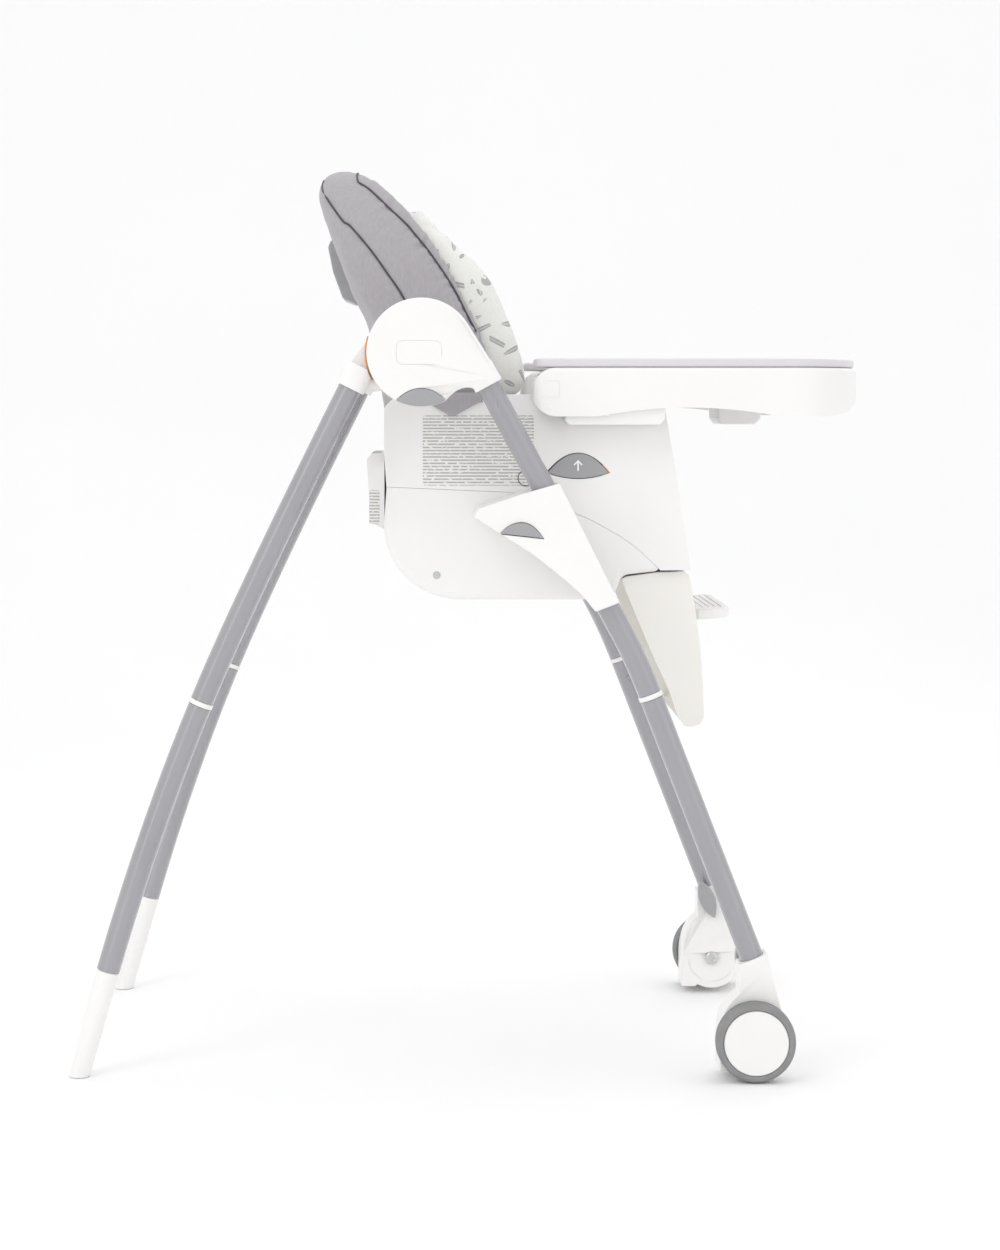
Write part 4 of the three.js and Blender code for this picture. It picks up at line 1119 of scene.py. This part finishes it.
def trayPlan(edge):
    half, front, rear = traySize["half"] - edge, traySize["front"] - edge, traySize["rear"] + edge
    belly, bellyFront = traySize["belly"] + edge, traySize["bellyFront"] + edge
    nose = cubic((front - 108, -half), (front - 40, -half), (front, -half * 0.62), (front, 0), 20)
    notch = cubic((bellyFront - 60, belly), (bellyFront - 15, belly), (bellyFront, belly * 0.6),
                  (bellyFront, 0), 16)
    corner = quadratic((rear, -half + 16), (rear, -half), (rear + 16, -half), 5)
    innerCorner = quadratic((rear + 12, -belly), (rear, -belly), (rear, -belly - 12), 5)
    right = corner + nose + [(x, -y) for x, y in nose[::-1]][1:] + [(x, -y) for x, y in corner[::-1]]
    left = [(x, -y) for x, y in innerCorner[::-1]] + notch + [(x, -y) for x,
                                                              y in notch[::-1]][1:] + innerCorner
    return right + left


def traySide():
    low, high, rear, front = traySize["low"], traySize["high"], traySize["rear"], traySize["front"]
    mid, bend = (low + high) / 2, (high - low) / 2
    points = [(rear + bend, low), (198, low)] + quadratic((198, low), (300, low + 20), (402, low), 14)[1:]
    points += [(front - 62, low)] + cubic((front - 62, low), (front - 22, low), (front - 4, low + 14),
                                          (front, high - 8), 14)[1:]
    points += quadratic((front, high - 8), (front, high), (front - 8, high), 5)[1:]
    return points + arc((rear + bend, mid), bend, math.pi / 2, math.pi * 1.5, 24)[:-1]


def addTray():
    solid = bevelled(prism(trayPlan(0), traySize["low"] - 10, traySize["high"], "z"), 5, 4, 40)
    solid = common(solid, prism(traySide(), -300, 300))
    solid = bevelled(solid, 2.2, 3, 55)
    under = prism(trayPlan(traySize["wall"]), traySize["low"] - 15, traySize["high"] - traySize["wall"], "z")
    slots = [prism(rect(119, 715, 186, 759), side * 165, side * 179) for side in (1, -1)]
    marks = []
    for side in (1, -1):
        latch = filleted([(133, 752.5, 2), (155, 752.5, 2), (155, 771, 2), (133, 771, 2)], 4)
        marks.append(frameBand(latch, 0.7, side * (traySize["half"] - 0.6), side * (traySize["half"] + 2)))
    mesh = cutFrom(solid, under, *slots, *marks)
    place("trayBody", mesh, shellWhite, "tray", "tray_body")
    low = traySize["high"] + 0.3
    plate = bevelled(prism(trayPlan(3), low, low + 10, "z"), 3.4, 5, 50)
    dish = bevelled(prism(trayPlan(15), low + 3.6, low + 22, "z"), 3.2, 5, 50)
    lip = bevelled(prism(trayPlan(24), low + 3.0, low + 9, "z"), 0.5, 2, 50)
    mesh = cutFrom(plate, dish, lip)
    place("trayInsert", mesh, insertLilac, "insert", "tray_insert")
    grip = filleted([(354, 721, 5), (392, 721, 5), (399, 728, 5), (399, 760, 2), (349, 760, 2),
                     (349, 728, 5)], 5)
    mesh = bevelled(prism(grip, -55, 55), 3, 4, 50)
    ribs = [prism(rect(x, 719, x + 2, 722.2), -42, 42) for x in (360, 366, 372, 378, 384)]
    place("trayGrip", cutFrom(mesh, *ribs), shellWhite, "tray_grip", "tray_handle")
    for side in (1, -1):
        mark = sideName(side)
        outline = filleted([(162, 726, 2), (166, 721.5, 3), (268, 721.5, 3), (274, 728, 3), (274, 778.7, 0),
                            (162, 778.7, 0)], 5)
        block = bevelled(prism(outline, side * 178, side * 214.7), 1.8, 3, 50)
        ledge = prism(rect(162, 756.3, 274, 778.7), side * 166, side * 190)
        place("traySlider" + mark, joined(block, ledge), shellWhite, "tray", "tray_slider_" + mark)
        for spot in ((143, 741), (208, 733.6)):
            screw = lathe([(0, 220.8), (1.9, 220.8), (2.2, 221.4), (2.2, 222.3), (1.7, 222.5), (0, 222.5)],
                          *spot, side, 20)
            place("trayScrew{}{}".format(mark, spot[0]), screw, shellWhite, "tray")


addTray()


print("calf rest")
calfOutline = [(228, 546, 1.5), (234, 549, 3), (271, 554.2, 8), (299, 555, 3), (305, 550.5, 4),
               (311, 520, 60), (318, 468, 60), (321, 424, 60),
               (322, 388, 6), (318, 381, 3), (308, 377.5, 4), (299, 379, 4), (293, 388, 6), (280, 425, 30),
               (268, 450, 20),
               (233, 532, 20)]
calfHollow = [(205, 545), (236, 544), (293, 545), (299, 541), (305, 518), (312, 468), (315, 424),
              (315.5, 392), (309, 385),
              (290, 372), (262, 430), (215, 530)]


def addCalfRest():
    solid = bevelled(prism(filleted(calfOutline, 4), -165, 165), 6, 5, 50)
    mesh = cutFrom(solid, prism(calfHollow, -159, 159))
    ribs = []
    for y in (-96, -32, 32, 96):
        ribs.append(prism([(250, 544.5), (303, 544.5), (313, 470), (316, 400), (300, 400), (286, 470)],
                          y - 1.2, y + 1.2))
    mesh = joined(mesh, *ribs)
    place("calfRest", mesh, creamWhite, "calf", "calf_rest")
    front, half = 357, 122
    plan = [(314.6, -half + 6), (320, -half), (front - 22, -half)]
    plan += quadratic((front - 22, -half), (front, -half), (front, -half + 26), 10)[1:]
    plan += [(x, -y) for x, y in plan[::-1]]
    plate = bevelled(prism(plan, 497.5, 509.5, "z"), 2.6, 4, 50)
    plate = moved(plate, lambda p: Vector((p.x, p.y, p.z + ((p.x - hubX) / mm - 335) * 0.07 * mm)))
    grooves = [prism(rect(x, 508, x + 1.6, 515), -100, 100) for x in (326, 333, 340, 347)]
    place("footPlate", cutFrom(plate, *grooves), shellWhite, "foot_plate", "footplate")


addCalfRest()


print("padding")


def remeshed(mesh, voxel, rounds=2, weights=None, factor=0.5):
    def setUp(holder):
        skin = holder.modifiers.new("skin", "REMESH")
        skin.mode = "VOXEL"
        skin.voxel_size = voxel * mm
    return smoothed3d(evaluated(mesh, setUp), rounds, factor, weights)


# each point moves towards the middle of its neighbours, more where the weight is higher
def smoothed3d(mesh, rounds, factor=0.5, weights=None):
    count = len(mesh.vertices)
    spots = np.empty(count * 3)
    mesh.vertices.foreach_get("co", spots)
    spots = spots.reshape(-1, 3)
    ends = np.empty(len(mesh.edges) * 2, dtype=np.int64)
    mesh.edges.foreach_get("vertices", ends)
    first, second = ends[0::2], ends[1::2]
    number = np.maximum(1, np.bincount(ends, minlength=count))[:, None]
    share = np.full((count, 1), factor)
    if weights:
        share *= np.array([weights(Vector(p)) for p in spots])[:, None]
    for _ in range(rounds):
        sums = np.stack([np.bincount(first, spots[second, k], count) + np.bincount(second, spots[first, k],
                                                                                   count)
                         for k in range(3)], axis=1)
        spots = spots + share * (sums / number - spots)
    mesh.vertices.foreach_set("co", spots.ravel())
    mesh.update()
    return mesh


# fills the form out as if stuffed, holding the points where hold says so and going no further than reach
def puffed(mesh, pressure, reach, hold, stiffness=12):
    start = [v.co.copy() for v in mesh.vertices]
    holder = bpy.data.objects.new("stuffing", mesh)
    bpy.context.scene.collection.objects.link(holder)
    group = holder.vertex_groups.new(name="held")
    for i, co in enumerate(start):
        weight = hold(co)
        if weight > 0:
            group.add([i], weight, "REPLACE")
    cloth = holder.modifiers.new("cloth", "CLOTH")
    settings = cloth.settings
    settings.quality = 6
    settings.mass = 0.25
    settings.tension_stiffness = stiffness
    settings.compression_stiffness = stiffness
    settings.shear_stiffness = stiffness / 2
    settings.bending_stiffness = 0.4
    settings.use_pressure = True
    settings.uniform_pressure_force = pressure
    settings.vertex_group_mass = "held"
    settings.effector_weights.gravity = 0
    cloth.collision_settings.use_collision = False
    cloth.point_cache.frame_start = 1
    cloth.point_cache.frame_end = 20
    scene = bpy.context.scene
    for frameNumber in range(1, 21):
        scene.frame_set(frameNumber)
    graph = bpy.context.evaluated_depsgraph_get()
    result = bpy.data.meshes.new_from_object(holder.evaluated_get(graph))
    bpy.data.objects.remove(holder)
    scene.frame_set(1)
    for vertex, before in zip(result.vertices, start):
        step = vertex.co - before
        if step.length > reach * mm:
            vertex.co = before + step.normalized() * reach * mm
    return result


def subdivided(mesh):
    def setUp(holder):
        finer = holder.modifiers.new("finer", "SUBSURF")
        finer.levels = 1
        finer.render_levels = 1
    return evaluated(mesh, setUp)


def inMillimetres(co):
    return (co.x - hubX) / mm, co.y / mm, co.z / mm


# pushes each point out along its normal by the depth that depthAt gives
def displaced(mesh, depthAt):
    mesh.update()
    shifts = [vertex.normal * depthAt(vertex.normal,
                                      *inMillimetres(vertex.co)) * mm for vertex in mesh.vertices]
    for vertex, shift in zip(mesh.vertices, shifts):
        vertex.co += shift
    return mesh


# a slow wave in all three directions, with its length along each
def wave(x, y, z, lengthX, lengthY, lengthZ):
    return noise.noise(Vector((x / lengthX, y / lengthY, z / lengthZ)))


# nearest distance in the side view from (x, z) to a line of points, and how far along it
def alongLine(x, z, line):
    best, where, run = 1e9, 0.0, 0.0
    for (ax, az), (bx, bz) in zip(line, line[1:]):
        length = math.hypot(bx - ax, bz - az)
        share = max(0.0, min(1.0, ((x - ax) * (bx - ax) + (z - az) * (bz - az)) / (length * length)))
        distance = math.hypot(x - ax - share * (bx - ax), z - az - share * (bz - az))
        if distance < best:
            best, where = distance, run + share * length
        run += length
    return best, where


def smoothShaded(mesh):
    for face in mesh.polygons:
        face.use_smooth = True
    return mesh


def surfaceOf(mesh):
    return BVHTree.FromPolygons([v.co for v in mesh.vertices], [p.vertices[:] for p in mesh.polygons])


def hitFrom(tree, point, direction, lift):
    far = Vector(direction).normalized()
    spot, normal, _, _ = tree.ray_cast(at(*point) - far * 0.5, far)
    if spot is None:
        return None
    return spot - far * lift * mm


def piping(name, points, radius, body):
    line = [p for p in points if p is not None]
    curve = []
    for i in range(len(line)):
        around = line[max(0, i - 1):i + 2]
        curve.append(sum(around, Vector()) / len(around))
    place(name, roundLine(curve, radius, 10), pipingDark, body, sharp=80)


backLine = [(-20, 676), (-30, 700), (-38, 745), (-48, 800), (-58, 843), (-72, 866), (-102, 946), (-112, 975),
            (-121, 1004), (-117, 1015), (-100, 1023), (-84, 1025)]
wingLine = [(-60, 1015), (-36, 995), (-14, 971.5), (12, 940), (35, 904), (53, 871), (71, 832), (94, 770),
            (88, 735),
            (66, 704), (30, 680)]
backHollow = [(-4, 692), (-12, 720), (-22, 760), (-32, 802), (-42, 845), (-56, 876), (-84, 948), (-98, 986),
              (-82, 1008),
              (220, 1008), (220, 640), (30, 640)]
backFront = [(158, 676), (158, 905), (150, 955), (128, 995), (90, 1018), (50, 1025)]
seamRear = [(-113, 1004.5), (-113, 989.6), (-90, 955), (-81, 948.5), (-57, 920), (-40, 896), (-19, 864.5),
            (0, 820),
            (12, 780), (18, 740)]
seamFront = [(-74, 1002), (-59, 992), (-35, 968), (-17, 951), (-7, 939), (11, 916.5), (37, 877.6), (55, 842),
             (88, 781.6), (92, 768)]


def frontPrism(edge):
    half = [(y - edge, z - edge) for y, z in smoothed(backFront[1:], 5)]
    outline = [(158 - edge, 500)] + half
    return prism(outline + [(-y, z) for y, z in outline[::-1]], -300, 400, "x")


cover = {"half": 158, "voxel": 5.5, "rounds": 26, "pressure": 3, "reach": 5, "grooveDepth": 1.5,
         "grooveWidth": 3.2,
         "ripple": 3.2, "billow": 0.9, "crease": 0.5, "tuckBelow": 800, "tuckHalf": 160.4, "wall": 12,
         "pipingRadius": 1.25, "pipingLift": 0.7}


def addBackCover():
    half, lift = cover["half"], cover["pipingLift"]
    shell = common(prism(backLine + wingLine, -half, half), frontPrism(0))
    hollow = common(prism(backHollow, -half, half), frontPrism(cover["wall"]))
    floor = prism(rect(-60, 600, 220, 686), -half, half)
    shell = cutFrom(shell, cutFrom(hollow, floor))

    # the outer back corners are rounder than the wings' front edges
    def rounding(co):
        x, y, z = inMillimetres(co)
        ahead = x - (-20 - max(0, z - 676) * 0.29)
        return max(0.12, min(1.0, 1.25 - ahead / 62))
    mesh = remeshed(shell, cover["voxel"], cover["rounds"], rounding)

    def hold(co):
        x, y, z = inMillimetres(co)
        return max(0.0, min(1.0, (722 - z) / 30))
    mesh = subdivided(puffed(mesh, cover["pressure"], cover["reach"], hold))

    def depthAt(normal, x, y, z):
        depth = 0.0
        if abs(y) > 60 and normal.y * y > 0 or z > 985:
            for line in (seamRear, seamFront):
                distance, where = alongLine(x, z, line)
                depth -= cover["grooveDepth"] * math.exp(-(distance / cover["grooveWidth"]) ** 2)
                if line is seamFront and z > 800:
                    ripple = wave(where, y, 3.1, 8, 40, 1)
                    depth += cover["ripple"] * ripple * math.exp(-((distance - 5) / 8) ** 2)
                if line is seamRear:
                    depth += cover["billow"] * wave(where, z, 8.2, 16, 30,
                                                    1) * math.exp(-(distance / 12) ** 2)
        return depth + (cover["billow"] * wave(x, y, z, 46, 60, 38) + cover["crease"] * wave(x, y, z, 18, 30,
                                                                                             15))
    mesh = displaced(mesh, depthAt)
    for vertex in mesh.vertices:
        if vertex.co.z < cover["tuckBelow"] * mm and abs(vertex.co.y) > cover["tuckHalf"] * mm:
            vertex.co.y = math.copysign(cover["tuckHalf"] * mm, vertex.co.y)
    piece = place("backCover", smoothShaded(mesh), coverGrey, "backrest", "backrest_shell", sharp=None)
    tree = surfaceOf(mesh)
    for name, line, crossing in (("backPipingRear", seamRear, "back"), ("backPipingFront", seamFront, "top")):
        smooth = smoothed(line, 6)
        left = [hitFrom(tree, (x, 400, z), (0, -1, 0), lift) for x, z in smooth]
        left = [p for p in left if p is not None and p.y > 60 * mm]
        right = [Vector((p.x, -p.y, p.z)) for p in left]
        right = [hitFrom(tree, ((p.x - hubX) / mm, -400, p.z / mm), (0, 1, 0), lift) for p in right]
        right = [p for p in right if p is not None and p.y < -60 * mm]
        top = left[0]
        reach = int(top.y / mm) - 6
        over = []
        for y in range(reach, -reach - 1, -6):
            if crossing == "back":
                over.append(hitFrom(tree, (-400, y, top.z / mm + 5 * (1 - (y / reach) ** 2)), (1, 0, 0),
                                    lift))
            else:
                over.append(hitFrom(tree, ((top.x - hubX) / mm, y, 1300), (0, 0, -1), lift))
        piping(name, left[::-1] + over + right, cover["pipingRadius"], "backrest")


addBackCover()

padRear = [(-2, 692), (-10, 720), (-20, 760), (-30, 802), (-40, 845), (-54, 876), (-82, 948)]
padFore = [(23, 700), (15, 728), (5, 768), (-5, 810), (-15, 853), (-29, 884), (-57, 956)]
bolsterLine = [(-8, 973), (0, 971), (19.5, 946), (41, 927), (55, 915), (70, 901.5), (82.5, 883), (91.7, 861),
               (104, 833), (112, 809), (118, 788.5), (119, 769), (112, 756.5), (92, 752), (64, 716),
               (34, 696)]


def inset(points, dx):
    return [(x + dx, z) for x, z in points]


backPad = {"half": 112, "edge": 9, "voxel": 5, "rounds": 5, "pressure": 4, "reach": 9,
           "channels": (736, 790, 844, 898),
           "channelDepth": 3.4, "channelWidth": 4.5, "crease": 0.8}


def addBackPad():
    half = backPad["half"]
    solid = bevelled(prism(inset(padRear, 2.5) + padFore[::-1], -half, half), backPad["edge"], 4, 40)
    mesh = remeshed(solid, backPad["voxel"], backPad["rounds"])

    def hold(co):
        x, y, z = inMillimetres(co)
        distance, _ = alongLine(x, z, padRear)
        return 1.0 if distance < 9 or abs(y) > half - 4 else 0.0
    mesh = subdivided(puffed(mesh, backPad["pressure"], backPad["reach"], hold))

    def depthAt(normal, x, y, z):
        depth = 0.0
        if normal.x > 0.3 and abs(y) < half - 6:
            level = z + 4 * math.cos(y / 40)
            for channel in backPad["channels"]:
                fromChannel = (level - channel) / backPad["channelWidth"]
                depth -= backPad["channelDepth"] * math.exp(-fromChannel ** 2)
            depth += backPad["crease"] * wave(x, y, z, 20, 22, 16)
        return depth
    mesh = displaced(mesh, depthAt)
    piece = place("backPad", smoothShaded(mesh), padPale, "backrest", "back_pad", sharp=None)
    return surfaceOf(mesh)


padTree = addBackPad()


bolster = {"inner": 119.5, "outer": 142.5, "edge": 7, "voxel": 4.5, "rounds": 4, "pressure": 4, "reach": 2.6,
           "gather": 3.0, "seamAt": 131, "seamDepth": 1.4, "seamWidth": 1.6}


def addBolster(side):
    outline = inset(padRear, 3) + [(-60, 961)] + bolsterLine
    solid = prism(outline, side * bolster["inner"], side * bolster["outer"])
    solid = common(solid, frontPrism(15))
    mesh = remeshed(bevelled(solid, bolster["edge"], 4, 40), bolster["voxel"], bolster["rounds"])

    def hold(co):
        x, y, z = inMillimetres(co)
        return 1.0 if alongLine(x, z, padRear)[0] < 12 else 0.25
    mesh = subdivided(puffed(mesh, bolster["pressure"], bolster["reach"], hold))

    def depthAt(normal, x, y, z):
        distance, where = alongLine(x, z, bolsterLine[:13])
        edge = math.exp(-(distance / 16) ** 2)
        top = max(0.0, min(1.0, (z - 880) / 50))
        fold = wave(where, y, 5.7 + side, 10, 30, 1)
        depth = edge * (bolster["gather"] * fold * top + 0.8 * wave(x, y, z, 14, 16, 12))
        depth += 0.5 * wave(x, y, z, 34, 20, 30)
        fromSeam = (abs(y) - bolster["seamAt"]) / bolster["seamWidth"]
        return depth - bolster["seamDepth"] * math.exp(-fromSeam ** 2) * edge
    mesh = displaced(mesh, depthAt)
    piece = place("sideBolster" + sideName(side), smoothShaded(mesh), padPale, "backrest",
                  "side_bolster_" + sideName(side), sharp=None)


for side in (1, -1):
    addBolster(side)


buckleX = 118
seatPad = {"low": 641, "high": 664, "edge": 7, "voxel": 5, "rounds": 5, "pressure": 4, "reach": 5,
           "heldBelow": 648,
           "seamDepth": 3.0, "seamWidth": 4, "crease": 0.8, "top": 668.6, "underBuckle": 666.2}


def addSeatPad():
    plan = filleted([(32, -146, 18), (270, -146, 30), (270, 146, 30), (32, 146, 18)], 6)
    block = bevelled(prism(plan, seatPad["low"], seatPad["high"], "z"), seatPad["edge"], 4, 40)
    mesh = remeshed(block, seatPad["voxel"], seatPad["rounds"])

    def hold(co):
        return 1.0 if inMillimetres(co)[2] < seatPad["heldBelow"] else 0.0
    mesh = subdivided(puffed(mesh, seatPad["pressure"], seatPad["reach"], hold))

    def depthAt(normal, x, y, z):
        if normal.z <= 0.3:
            return 0.0
        fromSeam = max(abs(y) - 112, abs(x - 151) - 88)
        depth = -seatPad["seamDepth"] * math.exp(-(fromSeam / seatPad["seamWidth"]) ** 2)
        return depth + seatPad["crease"] * wave(x, y, z, 24, 24, 20)
    mesh = displaced(mesh, depthAt)
    for vertex in mesh.vertices:
        x, y, z = inMillimetres(vertex.co)
        limit = seatPad["underBuckle"] if math.hypot(x - buckleX, y) < 30 else seatPad["top"]
        vertex.co.z = min(vertex.co.z, limit * mm)
    piece = place("seatPad", smoothShaded(mesh), padPale, "seat", "seat_pad", sharp=None)
    return surfaceOf(mesh)


seatTree = addSeatPad()


harness = {"width": 25, "thick": 1.8, "shoulder": 44.5, "lowest": 667.0}


# a flat woven strap along a row of points; across is the direction of its width
def strapAlong(points, normals, across, width, thick):
    section = []
    for i in range(12):
        angle = 2 * math.pi * i / 12
        c, s = math.cos(angle), math.sin(angle)
        section.append((width / 2 * math.copysign(abs(c) ** 0.25, c),
                        thick / 2 * math.copysign(abs(s) ** 0.6, s)))
    verts, faces = [], []
    for point, normal in zip(points, normals):
        for a, b in section:
            verts.append(point + Vector(across) * a * mm + normal * (b + thick / 2) * mm)
    count = len(section)
    faces += tubeFaces(len(points), count)
    faces.append(tuple(range(count)))
    faces.append(tuple(range(len(verts) - 1, len(verts) - count - 1, -1)))
    return meshFrom(verts, faces)


def eased(points, rounds=3):
    for _ in range(rounds):
        points = [points[0]] + [(a + b * 2 + c) / 4 for a, b,
                                c in zip(points, points[1:], points[2:])] + [points[-1]]
    return points


# a strap that lies on the seat pad under a row of points
def addSeatStrap(name, points, across, replaced):
    line = [hitFrom(seatTree, (x, y, 800), (0, 0, -1), 0.7) for x, y in points]
    line = eased([Vector((p.x, p.y, max(p.z, harness["lowest"] * mm))) for p in line])
    up = [Vector((0, 0, 1))] * len(line)
    mesh = strapAlong(line, up, across, harness["width"], harness["thick"])
    place(name, mesh, strapGrey, "seat", replaced, sharp=60)


def ellipse(x, halfX, halfY, count):
    angles = [2 * math.pi * i / count for i in range(count)]
    return [(x + halfX * math.cos(a), halfY * math.sin(a)) for a in angles]


def addHarness():
    for side in (1, -1):
        mark = sideName(side)
        addSeatStrap("lapStrap" + mark, [(buckleX, side * y) for y in range(24, 141, 4)], (1, 0, 0),
                     "lap_strap_" + mark)
        spots = [hitFrom(padTree, (300, side * harness["shoulder"], 734 + step * 5), (-1, 0, 0), 0.8)
                 for step in range(31)]
        spots = eased(spots, 5)
        normals = []
        for i in range(len(spots)):
            run = spots[min(i + 1, len(spots) - 1)] - spots[max(i - 1, 0)]
            normals.append(Vector((run.z, 0, -run.x)).normalized())
        mesh = strapAlong(spots, normals, (0, 1, 0), harness["width"], harness["thick"])
        place("shoulderStrap" + mark, mesh, strapGrey, "backrest", "shoulder_strap_" + mark, sharp=60)
    addSeatStrap("crotchStrap", [(x, 0) for x in range(136, 209, 4)], (0, 1, 0), "crotch_strap")
    body = bevelled(prism(ellipse(buckleX, 17.5, 23, 56), 666.8, 679.6, "z"), 2.6, 4, 50)
    slots = [prism(rect(buckleX - 14, side * 21, buckleX + 14, side * 26), 668, 672, "z") for side in (1, -1)]
    well = prism(ellipse(buckleX, 9.5, 9.5, 40), 670.6, 690, "z")
    place("buckle", cutFrom(body, well, *slots), buttonGrey, "seat", "buckle")
    cap = bevelled(prism(ellipse(buckleX, 9, 9, 40), 674.6, 680.2, "z"), 1.4, 4, 50)
    dish = bevelled(prism(ellipse(buckleX, 5.5, 5.5, 32), 679.5, 690, "z"), 0.3, 2, 50)
    place("buckleButton", cutFrom(cap, dish), buttonGrey, "buckle_push", "buckle_button")


addHarness()


def addReclineGrip():
    outline = filleted([(-100.9, 938, 2), (-86.8, 900, 30), (-74, 869, 3), (-77, 863, 3), (-92, 869, 6),
                        (-103.6, 900, 30),
                        (-109.6, 930, 8), (-106, 938, 3)], 5)
    body = bevelled(prism(outline, -46, 46), 3.2, 4, 50)
    opening = bevelled(prism(rect(-130, 882, -60, 898), -30, 30), 3, 3, 50)
    scoop = bevelled(prism([(-114, 906), (-101, 902), (-106, 928), (-118, 928)], -34, 34), 3, 3, 50)
    place("reclineGrip", cutFrom(body, opening, scoop), buttonGrey, "recline_grip", "recline_handle")


addReclineGrip()


flap = {"rear": 12, "long": 58, "thick": 1.1, "columns": 26, "rows": 22,
        "path": ((160, 757.6), (170, 757.6), (176.6, 756.6),
        (178.6, 752), (178.9, 746))}


# the lowest point of a flap at each x: down to a blunt tip, then slowly up again
def flapEdge(x):
    if x < 33:
        return 743.5 - 12 * (x - 12) / 21
    return 731.5 if x < 38 else 731.5 + 17.5 * (x - 38) / 32


# the cover's side flaps hang over the armrests below the hubs
def addFlap(side):
    verts, faces = [], []
    columns, rows = flap["columns"], flap["rows"]
    for i in range(columns + 1):
        x = flap["rear"] + flap["long"] * i / columns
        path = [*flap["path"], (178.7, flapEdge(x))]
        lengths = [0.0]
        for a, b in zip(path, path[1:]):
            lengths.append(lengths[-1] + math.dist(a, b))
        for j in range(rows + 1):
            run = lengths[-1] * j / rows
            k = max(n for n in range(len(path) - 1) if lengths[n] <= run + 1e-9)
            share = (run - lengths[k]) / max(1e-9, lengths[k + 1] - lengths[k])
            y = path[k][0] + share * (path[k + 1][0] - path[k][0])
            z = path[k][1] + share * (path[k + 1][1] - path[k][1])
            flare = 1.2 * (1 + math.sin(x / 5.5 + z / 9)) * max(0, (752 - z) / 20)
            verts.append(at(x, side * (y + flare), z))
    for i in range(columns):
        for j in range(rows):
            a = i * (rows + 1) + j
            faces.append((a, a + 1, a + rows + 2, a + rows + 1))
    sheetMesh = meshFrom(verts, faces)

    def setUp(holder):
        thick = holder.modifiers.new("thick", "SOLIDIFY")
        thick.thickness = flap["thick"] * mm
        thick.offset = 0
        soft = holder.modifiers.new("soft", "SUBSURF")
        soft.levels = 1
        soft.render_levels = 1
    piece = place("armrestFlap" + sideName(side), smoothShaded(evaluated(sheetMesh, setUp)), coverGrey,
                  "seat", sharp=None)


for side in (1, -1):
    addFlap(side)
